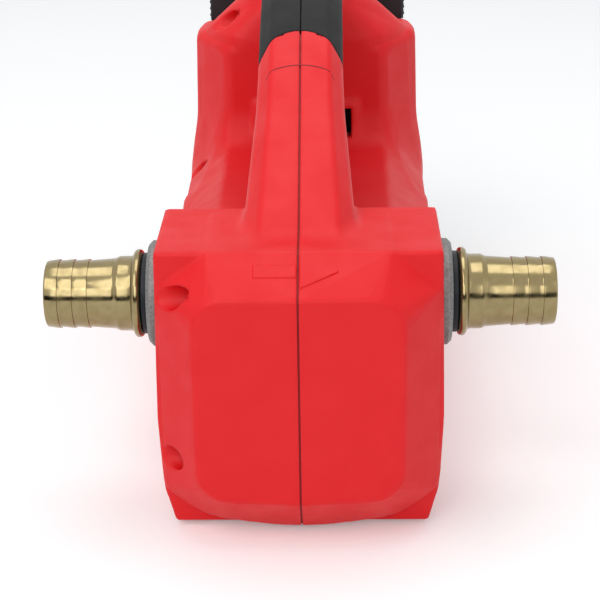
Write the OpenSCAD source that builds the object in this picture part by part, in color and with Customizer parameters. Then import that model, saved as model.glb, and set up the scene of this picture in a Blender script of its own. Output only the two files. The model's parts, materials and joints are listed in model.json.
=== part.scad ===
/* [Ports and hose barbs] */
// Height of the port axis above the floor
port_h = 72; // [70:0.5:80]
// Distance between the tips of the two hose barbs
port_span = 157; // [140:1:180]
// Radius of the water passage through a barb
passage_r = 8.2; // [6:0.1:8.4]
// Outer radius of the cast ring round each port
cast_ring_r = 16.5; // [15:0.1:19]
// How far the cast ring stands out of the housing
cast_ring_t = 3.5; // [2:0.1:6]
// Radius of the rubber gasket under a barb
gasket_r = 12.6; // [11:0.1:13.4]
// Thickness of the gasket
gasket_t = 2; // [1:0.1:3]
// Radius of the rolled bead at the foot of a barb
bead_r = 13.8; // [12.5:0.1:16]
// Thickness of the rolled bead
bead_t = 2.8; // [2:0.1:4]
// Radius of the bell behind the barbs
bell_r = 12; // [11:0.1:13]
// Length of the bell
bell_len = 5; // [3:0.1:8]
// Radius of the tube between the barb crests
barb_r = 10.35; // [9.5:0.05:11]
// Rise of a barb crest over the tube
barb_rise = 0.4; // [0.2:0.05:0.8]
// Distance from crest to crest
barb_pitch = 4.6; // [3:0.1:6]
// Number of barb crests
barb_count = 3; // [1:1:4]

/* [Pump block] */
// Width of the front block
block_w = 86; // [84:1:96]
// Block front face, forward of the port axis
block_front = 20.2; // [20:0.1:24]
// Block rear face, behind the port axis
block_rear = 20.4; // [18:0.1:26]
// Block top face, above the port axis
block_top = 20; // [19:0.5:26]
// Block underside, below the port axis
block_base = 71; // [70:0.5:78]
// Width of the raised front panel
panel_w = 61.6; // [50:0.2:70]
// Top edge of the front panel, above the port axis
panel_top = 9.6; // [6:0.1:12]
// Bottom edge of the front panel, below the port axis
panel_base = 57; // [50:0.5:62]
// How far the panel edge stands in front of the block
panel_rise = 12.8; // [10:0.1:16]
// How much further the panel stands out at the seam
panel_crown = 1.5; // [0:0.1:3]
// Thickness of the moulded housing wall
wall = 3; // [2:0.1:3.4]

/* [Motor housing] */
// Half width of the flat on top
top_flat = 30.3; // [24:0.1:34]
// Height of the flat, above the port axis
top_flat_z = 3.4; // [2:0.1:6]
// Half width of the housing at the block
barrel_w = 40; // [36:0.2:42]
// Half width of the housing at the rear
tail_w = 45; // [44:0.2:50]
// Start of the rising rear floor, behind the port axis
crease_y = 100; // [90:1:110]
// Underside of the motor housing, below the port axis
barrel_base = 66; // [62:0.5:68]

/* [Rear upright] */
// Front wall of the upright, behind the port axis
wall_y = 140; // [138:0.5:150]
// Depth of the upright from its front wall to the battery recess
upright_t = 28; // [26:0.5:34]
// Half width of the flat front wall
front_flat = 30; // [24:0.5:32]
// Height where the upright starts to narrow, above the port axis
neck_z = 46; // [40:0.5:50]
// Height of the switch centre, above the port axis
switch_z = 14.3; // [13:0.1:20]

/* [Handle] */
// Lean of the front leg above the horizontal, in degrees
leg_lean = 40; // [36:1:44]
// Front of the leg where it leaves the block, forward of the port axis
leg_front = 3; // [0:0.5:6]
// Radius of the top line of the handle
crest_radius = 130; // [120:1:140]
// Top of the handle, above the port axis
crest_z = 82.5; // [80:0.5:90]
// Thickness of the handle bar
bar_t = 29; // [26:0.5:32]
// Width of the handle bar
bar_w = 28; // [24:0.5:32]
// Width of the leg at the block
leg_w = 35; // [30:0.5:40]
// Thickness of the rubber overmould
grip_t = 2.4; // [1.5:0.1:2.8]

/* [Pump] */
// Distance from the port axis down to the shaft
shaft_drop = 30; // [29:0.5:31]
// Radius of the impeller chamber
chamber_r = 27; // [25:0.5:28]
// Depth of the impeller chamber
chamber_d = 22; // [20:0.5:23]
// Front of the chamber, forward of the port axis
chamber_front = 13.6; // [13.5:0.1:14]
// Number of impeller vanes
vane_count = 6; // [5:1:8]
// Thickness of an impeller vane
vane_t = 2.6; // [2:0.1:3.4]
// Radius of the pump shaft
pump_shaft_r = 5; // [4.5:0.1:5.4]

/* [Gears and motor] */
// Tooth module of the planetary gears
tooth_m = 0.7; // [0.65:0.01:0.72]
// Teeth on the sun pinion
sun_teeth = 12; // [12:6:12]
// Teeth on a planet gear
planet_teeth = 18; // [18:6:18]
// Width of a planet gear
planet_w = 10; // [8:0.5:10]
// Radius of the motor can
motor_r = 22; // [21:0.5:23]
// Length of the motor can
motor_len = 58; // [56:1:62]
// Radius of the armature
armature_r = 16.5; // [15:0.1:16.8]
// Number of armature slots
slot_count = 12; // [8:1:14]

/* [Battery pack] */
// Width of the pack
pack_w = 76; // [74:1:84]
// Height of the pack
pack_h = 115; // [113:1:124]
// Depth of the pack behind the upright
pack_d = 45.6; // [45:0.2:52]
// Underside of the pack, below the port axis
pack_base = 58; // [56:0.5:62]
// Radius of one cell
cell_r = 9.25; // [9:0.05:9.3]
// Travel of a release button
release_travel = 2.5; // [1.5:0.1:3]

/* [Hidden] */
$fn = 48;
// Overrun of every cut, clearance of loose fits, running clearance and seam gap
eps = 1;
loose = 0.3;
running = 0.03;
seam = 0.4;

// Housing corners and edges
block_edge = 1.2;
block_foot_x = 39;
block_foot_z = 57;
boss_corner_x = 29.5;
boss_corner_z = 9.3;
boss_crown_y = 9.2;
boss_low_x = 27;
boss_low_z = 52;
panel_corner = 6;
barrel_start = 4;
shoulder_z = 7;
belly_z = 50;
belly_flat = 27;
ramp_rise = 3.6;
waist_share = 0.43;
side_share = 0.7;
upright_waist = 39.5;
upright_w = 44.3;
cheek_y = 11.6;
neck_w = 17;
neck_top = 70;
neck_inset = 6;
recess_step = 7;
recess_w = pack_w / 2 - recess_step;
recess_base = 52;

// Handle section and path
bar_flat_share = 0.68;
bar_bevel = 6;
leg_root = 30;
grip_from = 31;
grip_to = -9;
tail_angle = -19.5;
arc_y = -leg_front + (crest_z - block_top - crest_radius * (1 - cos(leg_lean))) / tan(leg_lean)
    + crest_radius * sin(leg_lean);
arc_z = crest_z - crest_radius;
leg_len = (arc_y - crest_radius * sin(leg_lean) + leg_front) / cos(leg_lean);

// Switch and rocker
slot_w = 34.4;
slot_h = 10.6;
slot_r = 0.8;
collar_w = 2.8;
collar_t = 2.2;
rocker_w = 31.6;
rocker_h = 10;
rocker_front = 7;
rocker_horn = 1.6;
rocker_side = 3.5;
rocker_back = 3.4;
rocker_back_w = 16;
rocker_throw = 8;
rocker_pin_r = 1.2;
rocker_pin_len = 0.9;
switch_wall = 1.5;
switch_d = 16;
pivot_y = wall_y + wall + 2 * rocker_pin_r;

// Pump details
back_wall = 7;
seal_t = 5.6;
seal_r = 11;
bearing_r = 11;
bearing_w = 7;
bearing_seat = 1.5;
nose_r = 16;
head_wall = 5;
lug_r = 4.5;
lug_ring_r = 32.6;
lug_count = 6;
lug_turn = 0;
cover_t = 4.5;
cover_screw_r = 2;
seal_ring_r = 29.4;
seal_ring_w = 0.8;
wear_t = 0.6;
impeller_gap = 0.4;
hub_r = 10;
insert_r = 7;
cam_t = 2.2;
cam_angle = 21;
vane_tip_r = 1.9;
boss_r = 13.4;
thread_r = 9.6;
thread_len = 14;
port_reach = 10;
crest_land = 0.8;
port_bore_r = 8.4;

// Gear train along the shaft
ring_teeth = sun_teeth + 2 * planet_teeth;
sun_pitch_r = tooth_m * sun_teeth / 2;
planet_pitch_r = tooth_m * planet_teeth / 2;
ring_pitch_r = tooth_m * ring_teeth / 2;
arm_r = sun_pitch_r + planet_pitch_r;
nose_end = chamber_d - chamber_front + back_wall + bearing_seat + bearing_w + 0.5 * loose;
case_flange_r = 30;
case_flange_t = 4;
case_r = 24;
case_floor = 2;
case_len = 30;
case_screw_r = 1.75;
case_screw_ring = 26.9;
carrier_gap = 1;
carrier_t = 4;
carrier_r = arm_r + 4;
pin_r = 2;
gear_gap = 0.6;
ring_gear_t = 3.2;
ring_gear_w = planet_w + 3;
tooth_play_share = 0.1;
tip_share = 0.5;
root_share = 1.3;
carrier_y = nose_end + bearing_w + loose + case_floor + carrier_gap;
planet_y = carrier_y + carrier_t + gear_gap;

// Motor along the shaft
motor_y = nose_end + case_len;
can_t = 1.6;
bush_r = 6;
bush_w = 5;
rotor_shaft_r = 2.5;
pinion_shaft_r = 1.6;
magnet_t = 3;
magnet_angle = 70;
magnet_count = 4;
magnet_start = 8;
magnet_len = 37;
core_start = 12;
core_len = 32;
slot_w_share = 0.12;
coil_t = 3.4;
coil_r = 14.5;
coil_bore_share = 0.4;
commutator_r = 8;
commutator_len = 8;
cap_t = 6;
brush_w = 5;
brush_h = 4;
brush_len = 7;
holder_t = 1.2;
holder_len = 9.5;
fan_gap = 2.4;
fan_r = 15;
fan_t = 7;
fan_blades = 9;
fan_blade_t = 1.2;
fan_disc_t = 1.5;
fan_hub_r = 5;
commutator_y = motor_y + core_start + core_len + coil_t;
brush_y = commutator_y + commutator_len / 2;
cap_y = motor_y + motor_len;

// Cooling slots in both sides, beside the fan
vent_count = 5;
vent_pitch = 6;
vent_w = 3;
vent_top = 16;
vent_base = 44;
vent_y = cap_y + cap_t + fan_gap;

// Screws
screw_r = 1.5;
head_r = 3.1;
head_h = 2.6;
counterbore_r = 3.7;
post_r = 5.2;
screw_len = 20;
post_seat = 9;
screw_spots = [
    [-block_front - 3.8 / 12.8 * panel_rise, 0.4 * block_top, 0.91 * block_w / 2],
    [-block_front - 3.8 / 12.8 * panel_rise, -45 / 71 * block_base, 0.91 * block_w / 2],
    [wall_y - 5 / 3 * wall, -4 / 7 * shoulder_z, tail_w],
    [0.6 * crease_y, 0.9 * post_r + wall - barrel_base, belly_flat + 2 * wall],
    [wall_y + 0.4 * upright_t, neck_z + post_r, upright_w - 2 * wall],
    [wall_y + 0.4 * upright_t, 2.5 * post_r - block_base, tail_w],
    [arc_y - (crest_radius - bar_t / 2) * sin(leg_lean) - 0.1 * leg_len * cos(leg_lean),
        arc_z + (crest_radius - bar_t / 2) * cos(leg_lean) - 0.1 * leg_len * sin(leg_lean), bar_w / 2 + wall]
];

// Feet
foot_r = 6;
foot_h = 2.4;
foot_x = 29;
foot_front = 8;
foot_rear = 0.55 * upright_t + wall_y;

// Ribs that cradle the motor
rib_t = 3;
rib_share = [0.3, 0.8];

// Battery interface
recess_y = wall_y + upright_t;
rail_z0 = 50;
rail_len = 58;
rail_plate_t = 3;
rail_in = 24;
rail_out = 30;
rail_lip_t = 3;
rail_lip_w = 3;
rail_slot = 6;
tower_h = 90;
tower_z0 = 36;
shelf_gap = 0.8;
pack_y = recess_y + cheek_y + shelf_gap;
pack_wall = 2.5;
pack_split = 9.6;
pack_edge = 5;
pack_corner = 3;
block_half = 22;
block_z0 = 50;
block_z1 = 38.5;
blade_count = 4;
blade_pitch = 9;
blade_t = 1;
blade_w = 4.4;
blade_len = 14;
blade_slot = 3.2;
clip_t = 0.5;
clip_gap = 0.3;
blade_y = recess_y + rail_plate_t + 3.2;
cell_pitch = 18.8;
cell_end_gap = 3;
cell_len = pack_w - 2 * (pack_wall + cell_end_gap);
cell_z0 = 45.6;
cell_rows = 5;
cell_back_gap = 0.35;
board_t = 1.6;
board_w = 50;
board_h = 76;
button_h = 9;
button_w = 14;
button_z = 42;
button_y = 3;
button_proud = 1.3;
button_depth = 5.4;
flange_t = 1.6;
flange_w = 1.2;
arm_t = 2.2;
arm_h = 7;
spring_r = 2.4;
spring_bore_share = 0.5;
rib_x = 20;
gauge_z = 47;
gauge_r = 3.6;
gauge_proud = 0.6;
gauge_x = 11;
light_w = 4.4;
light_h = 2.6;
light_pitch = 6.4;
light_count = 4;

// Leads
lead_r = 1.1;
supply_route = [[5, 159, -44], [5, 155, -44], [5, 152, -41], [5, 151, -30], [5, 151, -10],
    [5, 151, 4], [5, 151, 7]];
motor_route = [[17, 119.5, -20], [17, 124, -20], [17, 134, -20], [15, 144, -17], [13, 149, -8],
    [12.5, 150, 3], [12.5, 150, 7]];
lead_sides = 8;

// Frame: bottom centre of the whole pump
front_y = -(block_front + panel_rise + panel_crown);
rear_y = pack_y + pack_d + gauge_proud;
mid_y = (front_y + rear_y) / 2;

function octagon(w, top_w, z_top, z_side, z_low, low_w, z_base, y) = [
    [-top_w, y, z_top], [top_w, y, z_top], [w, y, z_side], [w, y, z_low],
    [low_w, y, z_base], [-low_w, y, z_base], [-w, y, z_low], [-w, y, z_side]
];
function flip(ring) = [for (i = [len(ring) - 1:-1:0]) ring[i]];

// Outline of a spur gear with a tooth centred on +X; play is the share taken off a tooth
function gear_outline(n, root_r, tip_r, play) = [
    for (k = [0:n - 1]) each [
        for (p = [[-root_share, root_r], [-tip_share, tip_r], [tip_share, tip_r], [root_share, root_r]])
            let (a = 90 / n * (4 * k + p[0] * (1 - play))) [p[1] * cos(a), p[1] * sin(a)]
    ]
];

// Closed skin through rings of equal length, each listed clockwise as seen along the path
module loft(rings) {
    n = len(rings[0]);
    m = len(rings);
    points = [for (ring = rings) each ring];
    sides = [
        for (k = [0:m - 2]) for (i = [0:n - 1]) let (j = (i + 1) % n)
            each [[k * n + j, k * n + i, (k + 1) * n + j], [(k + 1) * n + j, k * n + i, (k + 1) * n + i]]
    ];
    first = [for (i = [0:n - 1]) i];
    last = [for (i = [n - 1:-1:0]) (m - 1) * n + i];
    polyhedron(points, concat([first], sides, [last]), convexity = 6);
}

module in_frame() {
    translate([0, -mid_y, port_h]) children();
}

module on_shaft(y) {
    translate([0, y, -shaft_drop]) rotate([-90, 0, 0]) children();
}

module along_x(x, y, z) {
    translate([x, y, z]) rotate([0, 90, 0]) children();
}

module ring_solid(r, bore, h) {
    difference() {
        cylinder(r = r, h = h);
        translate([0, 0, -eps]) cylinder(r = bore, h = h + 2 * eps);
    }
}

module box(low, high) {
    translate(low) cube(high - low);
}

module mirrored() {
    children();
    mirror([1, 0, 0]) children();
}

// Slab with round corners, seen along Y
module round_slab(w, h, r, t) {
    for (x = [-1, 1]) for (z = [-1, 1])
        translate([x * (w / 2 - r), 0, z * (h / 2 - r)]) rotate([-90, 0, 0]) cylinder(r = r, h = t);
    box([-w / 2, 0, -h / 2 + r], [w / 2, t, h / 2 - r]);
    box([-w / 2 + r, 0, -h / 2], [w / 2 - r, t, h / 2]);
}

// Front block, drawn t inside its outer faces
module block_form(t) {
    x = block_w / 2 - t;
    top = block_top - t;
    base = -block_base + t;
    translate([0, block_rear - t, 0]) rotate([90, 0, 0])
        linear_extrude(block_front + block_rear - 2 * t)
            polygon([
                [-x + block_edge, top], [x - block_edge, top], [x, top - block_edge],
                [x, -block_foot_z], [block_foot_x - t, base], [-block_foot_x + t, base],
                [-x, -block_foot_z], [-x, top - block_edge]
            ]);
}

// Raised octagonal boss with its bevels, t inside its outer faces
module boss_form(t) {
    edge_y = -(block_front + panel_rise) + t;
    seam_y = edge_y - panel_crown;
    base_y = -block_front + 2 * t;
    side = block_w / 2 - t;
    panel = panel_w / 2 - 0.4 * t;
    high = panel_top - 0.4 * t;
    low = -panel_base + 0.4 * t;
    points = [
        [-boss_corner_x, base_y, block_top - t], [boss_corner_x, base_y, block_top - t],
        [0, base_y + boss_crown_y - t, block_top - t],
        [-side, base_y, boss_corner_z], [side, base_y, boss_corner_z],
        [-side, base_y, -boss_low_z], [side, base_y, -boss_low_z],
        [-boss_low_x, base_y, -block_base + t], [boss_low_x, base_y, -block_base + t],
        for (s = [-1, 1]) each [
            [s * (panel - panel_corner), edge_y, high], [s * panel, edge_y, high - panel_corner],
            [s * panel, edge_y, low + panel_corner], [s * (panel - panel_corner), edge_y, low]
        ],
        [0, seam_y, high], [0, seam_y, low]
    ];
    hull() polyhedron(points, [for (i = [0:len(points) - 3]) [i, i + 1, i + 2]]);
}

// Motor housing running back from the block
module barrel_form(t) {
    loft([
        for (s = [
            [barrel_start + t, barrel_w, 0], [block_rear, barrel_w, 0], [crease_y, tail_w, 0],
            [wall_y + t, tail_w, ramp_rise], [recess_y - t, tail_w, ramp_rise]
        ])
            octagon(s[1] - t, top_flat - 0.4 * t, top_flat_z + s[2] - t, -shoulder_z, -belly_z,
                belly_flat - 0.4 * t, -barrel_base + t, s[0])
    ]);
}

function upright_ring(z, w, waist, flat, y0, y1, t) =
    let (waist_y = y0 + waist_share * (y1 - y0), side_y = y0 + side_share * (y1 - y0)) [
        [-flat + 0.4 * t, y0 + t, z], [flat - 0.4 * t, y0 + t, z], [waist - t, waist_y, z],
        [w - t, side_y, z], [w - t, y1 - t, z], [-w + t, y1 - t, z],
        [-w + t, side_y, z], [-waist + t, waist_y, z]
    ];

// Rear upright with its narrowing neck
module upright_form(t) {
    back = recess_y + (t > 0 ? 0 : cheek_y);
    loft([
        upright_ring(-block_base + t, upright_w, upright_waist, front_flat, wall_y, recess_y, t),
        upright_ring(neck_z, upright_w, upright_waist, front_flat, wall_y, recess_y, t),
        upright_ring(neck_top - t, neck_w, neck_w - neck_inset / 2, bar_w / 3,
            wall_y + neck_inset, recess_y - neck_inset, t)
    ]);
    if (t == 0)
        box([-upright_w, recess_y - wall, -block_base], [upright_w, back, neck_z]);
}

// Handle section at a point of the path: w half width, h half thickness
function bar_ring(y, z, a, w, h) = [
    for (p = [
        [-bar_flat_share * w, h], [bar_flat_share * w, h], [w, h - bar_bevel], [w, bar_bevel - h],
        [bar_flat_share * w, -h], [-bar_flat_share * w, -h], [-w, bar_bevel - h], [-w, h - bar_bevel]
    ]) [p[0], y - p[1] * sin(a), z + p[1] * cos(a)]
];

function arc_ring(a, t) = let (r = crest_radius - bar_t / 2)
    bar_ring(arc_y - r * sin(a), arc_z + r * cos(a), a, bar_w / 2 - t, bar_t / 2 - t);

function leg_ring(s, w, t) = let (r = crest_radius - bar_t / 2)
    bar_ring(arc_y - r * sin(leg_lean) - s * cos(leg_lean),
        arc_z + r * cos(leg_lean) - s * sin(leg_lean), leg_lean, w / 2 - t, bar_t / 2 - t);

// Whole handle, t inside its outer face
module handle_form(t) {
    loft([
        leg_ring(leg_len + leg_root / 3, leg_w, t), leg_ring(leg_len, leg_w, t),
        leg_ring(0.55 * leg_len, (leg_w + bar_w) / 2, t), leg_ring(0, bar_w + 1.6 * wall / 3, t),
        for (k = [1:12]) arc_ring(leg_lean + (tail_angle - leg_lean) * k / 12, t)
    ]);
}

// Stretch of the handle that carries the overmould, t inside the outer face
module grip_zone(t) {
    steps = 9;
    loft([for (k = [0:steps]) arc_ring(grip_from + (grip_to - grip_from) * k / steps, t)]);
}

module outer_form() {
    block_form(0);
    boss_form(0);
    barrel_form(0);
    upright_form(0);
    handle_form(0);
}

module inner_form() {
    block_form(wall);
    boss_form(wall);
    barrel_form(wall);
    upright_form(wall);
    handle_form(wall + grip_t);
}

module switch_hole(w, h) {
    translate([0, wall_y - collar_t - eps, switch_z])
        round_slab(w, h, slot_r, collar_t + wall + 2 * eps);
}

// Posts that the housing screws run into
module posts() {
    for (s = screw_spots) along_x(-s[2], s[0], s[1]) cylinder(r = post_r, h = 2 * s[2]);
}

module ribs() {
    for (share = rib_share)
        on_shaft(motor_y + share * motor_len)
            box([-tail_w, -tail_w, 0], [tail_w, tail_w, rib_t]);
}

module housing_solid() {
    difference() {
        union() {
            difference() {
                outer_form();
                inner_form();
            }
            intersection() {
                outer_form();
                union() {
                    posts();
                    difference() {
                        ribs();
                        on_shaft(motor_y) cylinder(r = motor_r + loose / 2, h = motor_len + eps);
                        on_shaft(motor_y) box([-tail_w, -tail_w, 0], [tail_w, -motor_r - loose, motor_len]);
                    }
                }
            }
            translate([0, wall_y - collar_t, switch_z])
                round_slab(slot_w + 2 * collar_w, slot_h + 2 * collar_w, slot_r + collar_w, collar_t + wall);
        }
        switch_hole(slot_w, slot_h);
        difference() {
            grip_zone(-eps);
            handle_form(grip_t);
        }
        along_x(-block_w, 0, 0) cylinder(r = boss_r + loose, h = 2 * block_w);
        box([-recess_w, recess_y, -recess_base], [recess_w, recess_y + cheek_y + eps, neck_z + eps]);
        mirrored() for (k = [0:vent_count - 1]) translate([tail_w, vent_y + (k - 2) * vent_pitch, 0])
            box([-2 * wall, -vent_w / 2, -vent_base], [eps, vent_w / 2, -vent_top]);
        box([-block_half - loose, recess_y - wall - eps, -block_z0 - loose],
            [block_half + loose, recess_y + eps, -block_z1 + loose]);
        for (s = screw_spots) {
            along_x(-s[2] - eps, s[0], s[1]) cylinder(r = screw_r + loose, h = s[2] + eps + screw_len);
            along_x(-s[2] - block_w, s[0], s[1]) cylinder(r = counterbore_r, h = block_w + s[2] - post_seat);
        }
        for (x = [-foot_x, foot_x]) for (y = [-foot_front, foot_rear])
            translate([x, y, -port_h - eps]) cylinder(r = foot_r + loose / 3, h = foot_h + eps);
    }
}

module left_housing() {
    color("crimson") in_frame() intersection() {
        housing_solid();
        box([-port_span, 2 * front_y, -2 * port_h], [-seam / 2, 2 * rear_y, 2 * crest_z]);
    }
}

module right_housing() {
    color("crimson") in_frame() intersection() {
        housing_solid();
        box([seam / 2, 2 * front_y, -2 * port_h], [port_span, 2 * rear_y, 2 * crest_z]);
    }
}

module housing_screws() {
    color("silver") in_frame() for (s = screw_spots) {
        along_x(-post_seat - head_h, s[0], s[1]) cylinder(r = head_r, h = head_h);
        along_x(-post_seat, s[0], s[1]) cylinder(r = screw_r, h = screw_len);
    }
}

module half_grip(side) {
    intersection() {
        difference() {
            grip_zone(0);
            handle_form(grip_t);
        }
        box([side > 0 ? seam / 2 : -bar_w, 0, 0], [side > 0 ? bar_w : -seam / 2, rear_y, 2 * crest_z]);
    }
}

module left_grip() {
    color("dimgray") in_frame() half_grip(-1);
}

module right_grip() {
    color("dimgray") in_frame() half_grip(1);
}

module rubber_feet() {
    color("black") in_frame() for (x = [-foot_x, foot_x]) for (y = [-foot_front, foot_rear])
        translate([x, y, -port_h]) cylinder(r = foot_r, h = foot_h);
}

module lugs(h) {
    for (k = [0:lug_count - 1]) rotate(lug_turn + 360 / lug_count * k) translate([lug_ring_r, 0, 0])
        cylinder(r = lug_r, h = h);
}

module lug_holes(r, h) {
    for (k = [0:lug_count - 1]) rotate(lug_turn + 360 / lug_count * k) translate([lug_ring_r, 0, -eps])
        cylinder(r = r, h = h + 2 * eps);
}

// Cast body with the chamber, the two ports and the bearing nose
module pump_head() {
    head_len = chamber_d + back_wall;
    half = block_w / 2;
    edge = cast_ring_t / 3;
    color("darkgray") in_frame() difference() {
        union() {
            on_shaft(-chamber_front) cylinder(r = chamber_r + head_wall, h = head_len);
            on_shaft(-chamber_front) lugs(head_len / 2);
            on_shaft(-chamber_front) cylinder(r = nose_r, h = nose_end + chamber_front);
            on_shaft(nose_end - case_flange_t) cylinder(r = case_flange_r, h = case_flange_t);
            along_x(-half, 0, 0) cylinder(r = boss_r, h = 2 * half);
            mirrored() {
                along_x(half, 0, 0) cylinder(r = cast_ring_r, h = cast_ring_t - edge);
                along_x(half + cast_ring_t - edge, 0, 0)
                    cylinder(r1 = cast_ring_r, r2 = cast_ring_r - edge, h = edge);
            }
        }
        on_shaft(-chamber_front - eps) cylinder(r = chamber_r, h = chamber_d + eps);
        on_shaft(-chamber_front - eps)
            ring_solid(seal_ring_r + seal_ring_w, seal_ring_r - seal_ring_w, eps + seal_ring_w);
        on_shaft(-chamber_front) translate([0, 0, -eps]) lug_holes(cover_screw_r, head_len / 2 - lug_r);
        on_shaft(0) cylinder(r = pump_shaft_r + loose, h = nose_end);
        on_shaft(-chamber_front + chamber_d + back_wall - seal_t)
            cylinder(r = seal_r, h = nose_end + eps);
        on_shaft(nose_end) translate([0, 0, -case_flange_t - eps])
            for (k = [0:3]) rotate(45 + 90 * k) translate([case_screw_ring, 0, 0])
                cylinder(r = case_screw_r, h = case_flange_t + 2 * eps);
        mirrored() {
            along_x(port_reach, 0, 0) cylinder(r = port_bore_r, h = block_w);
            along_x(half + cast_ring_t - thread_len, 0, 0) cylinder(r = thread_r, h = block_w);
        }
    }
}

module pump_cover() {
    color("gray") in_frame() difference() {
        on_shaft(-chamber_front - cover_t) linear_extrude(cover_t) {
            circle(r = chamber_r + head_wall);
            for (k = [0:lug_count - 1]) rotate(lug_turn + 360 / lug_count * k) translate([lug_ring_r, 0])
                circle(r = lug_r);
        }
        on_shaft(-chamber_front - cover_t) lug_holes(cover_screw_r + loose / 2, cover_t);
    }
}

module cover_seal() {
    color("black") in_frame() on_shaft(-chamber_front)
        ring_solid(seal_ring_r + seal_ring_w, seal_ring_r - seal_ring_w, seal_ring_w);
}

module cover_screws() {
    depth = (chamber_d + back_wall) / 2 - lug_r - eps;
    color("silver") in_frame() for (k = [0:lug_count - 1])
        on_shaft(-chamber_front - cover_t) rotate(lug_turn + 360 / lug_count * k)
            translate([lug_ring_r, 0, 0]) {
                translate([0, 0, -head_h]) cylinder(r = 1.6 * cover_screw_r, h = head_h);
                cylinder(r = cover_screw_r, h = cover_t + depth);
            }
}

module wear_plate() {
    color("lightgray") in_frame() on_shaft(-chamber_front)
        cylinder(r = chamber_r - loose / 3, h = wear_t);
}

// Crescent that squeezes the vanes between outlet and inlet
module cam_insert() {
    reach = 2 * chamber_r;
    color("lightgray") in_frame() on_shaft(-chamber_front + wear_t)
        linear_extrude(chamber_d - wear_t) intersection() {
            difference() {
                circle(r = chamber_r);
                circle(r = chamber_r - cam_t);
            }
            polygon([[0, 0], [reach * sin(cam_angle), -reach * cos(cam_angle)],
                [-reach * sin(cam_angle), -reach * cos(cam_angle)]]);
        }
}

// Turned brass barb on the +X side; x is counted from the block's middle
module barb() {
    foot = block_w / 2 + cast_ring_t;
    seat = foot + gasket_t;
    tip = port_span / 2;
    bell_end = seat + bead_t + bell_len;
    crest = tip - 0.9 * barb_pitch;
    first_crest = crest - (barb_count - 1) * barb_pitch;
    round_r = bead_t / 2;
    points = concat(
        [[passage_r, foot - thread_len], [thread_r, foot - thread_len], [thread_r, seat]],
        [for (a = [-90:22.5:90]) [bead_r - round_r + round_r * cos(a), seat + round_r + round_r * sin(a)]],
        [[bell_r, seat + bead_t], [bell_r, bell_end], [barb_r + barb_rise / 2, bell_end + 0.6 * bell_len]],
        [for (k = [0:barb_count - 1]) each [
            [barb_r, first_crest + k * barb_pitch - barb_rise / 2],
            [barb_r + barb_rise, first_crest + k * barb_pitch],
            [barb_r + barb_rise, first_crest + k * barb_pitch + crest_land]
        ]],
        [[barb_r - barb_rise, tip - barb_rise], [barb_r - 2 * barb_rise, tip], [passage_r, tip]]
    );
    rotate([0, 90, 0]) rotate_extrude() polygon(points);
}

module gasket() {
    along_x(block_w / 2 + cast_ring_t, 0, 0) ring_solid(gasket_r, thread_r, gasket_t);
}

module inlet_barb() {
    color("gold") in_frame() mirror([1, 0, 0]) barb();
}

module outlet_barb() {
    color("gold") in_frame() barb();
}

module inlet_gasket() {
    color("black") in_frame() mirror([1, 0, 0]) gasket();
}

module outlet_gasket() {
    color("black") in_frame() gasket();
}

module shaft_seal() {
    color("black") in_frame() on_shaft(-chamber_front + chamber_d + back_wall - seal_t)
        ring_solid(seal_r, pump_shaft_r + running, seal_t);
}

// Ball bearing: two races and their balls
module ball_bearing(r, bore, w) {
    mid = (r + bore) / 2;
    race = (r - bore) / 3.2;
    ball_r = (r - bore) / 4;
    balls = 8;
    difference() {
        union() {
            ring_solid(r, r - race, w);
            ring_solid(bore + race, bore, w);
        }
        translate([0, 0, w / 2]) rotate_extrude() translate([mid, 0]) circle(r = ball_r + running);
    }
    for (k = [0:balls - 1]) rotate(360 / balls * k) translate([mid, 0, w / 2]) sphere(r = ball_r);
}

module front_bearing() {
    color("silver") in_frame() on_shaft(nose_end - bearing_w - 0.5 * loose)
        ball_bearing(bearing_r, pump_shaft_r + running, bearing_w);
}

module rear_bearing() {
    color("silver") in_frame() on_shaft(nose_end + 0.5 * loose)
        ball_bearing(bearing_r, pump_shaft_r + running, bearing_w);
}

module gearcase() {
    color("slategray") in_frame() on_shaft(nose_end) difference() {
        union() {
            cylinder(r = case_flange_r, h = case_flange_t);
            cylinder(r = case_r, h = case_len);
        }
        translate([0, 0, -eps]) cylinder(r = bearing_r, h = bearing_w + loose + eps);
        translate([0, 0, -eps]) cylinder(r = pump_shaft_r + 2 * loose, h = case_len);
        translate([0, 0, bearing_w + loose + case_floor])
            cylinder(r = ring_pitch_r + ring_gear_t + tooth_m, h = case_len);
        for (k = [0:3]) rotate(45 + 90 * k) translate([case_screw_ring, 0, -eps])
            cylinder(r = case_screw_r + loose / 2, h = case_flange_t + 2 * eps);
    }
}

module gearcase_screws() {
    color("silver") in_frame() on_shaft(nose_end) for (k = [0:3])
        rotate(45 + 90 * k) translate([case_screw_ring, 0, 0]) {
            translate([0, 0, -case_flange_t]) cylinder(r = case_screw_r, h = 2 * case_flange_t);
            translate([0, 0, case_flange_t]) cylinder(r = 1.45 * case_screw_r, h = head_h);
        }
}

module ring_gear() {
    color("darkgray") in_frame() on_shaft(planet_y - (ring_gear_w - planet_w) / 2)
        linear_extrude(ring_gear_w) difference() {
            circle(r = ring_pitch_r + ring_gear_t + tooth_m);
            rotate(180 / ring_teeth) polygon(gear_outline(ring_teeth, ring_pitch_r - tooth_m,
                ring_pitch_r + 1.25 * tooth_m, -tooth_play_share));
        }
}

module motor_can() {
    color("dimgray") in_frame() on_shaft(motor_y) difference() {
        union() {
            ring_solid(motor_r, motor_r - can_t, motor_len);
            ring_solid(motor_r, rotor_shaft_r + loose, can_t);
            ring_solid(bush_r + can_t, bush_r, can_t + bush_w);
        }
    }
}

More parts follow.
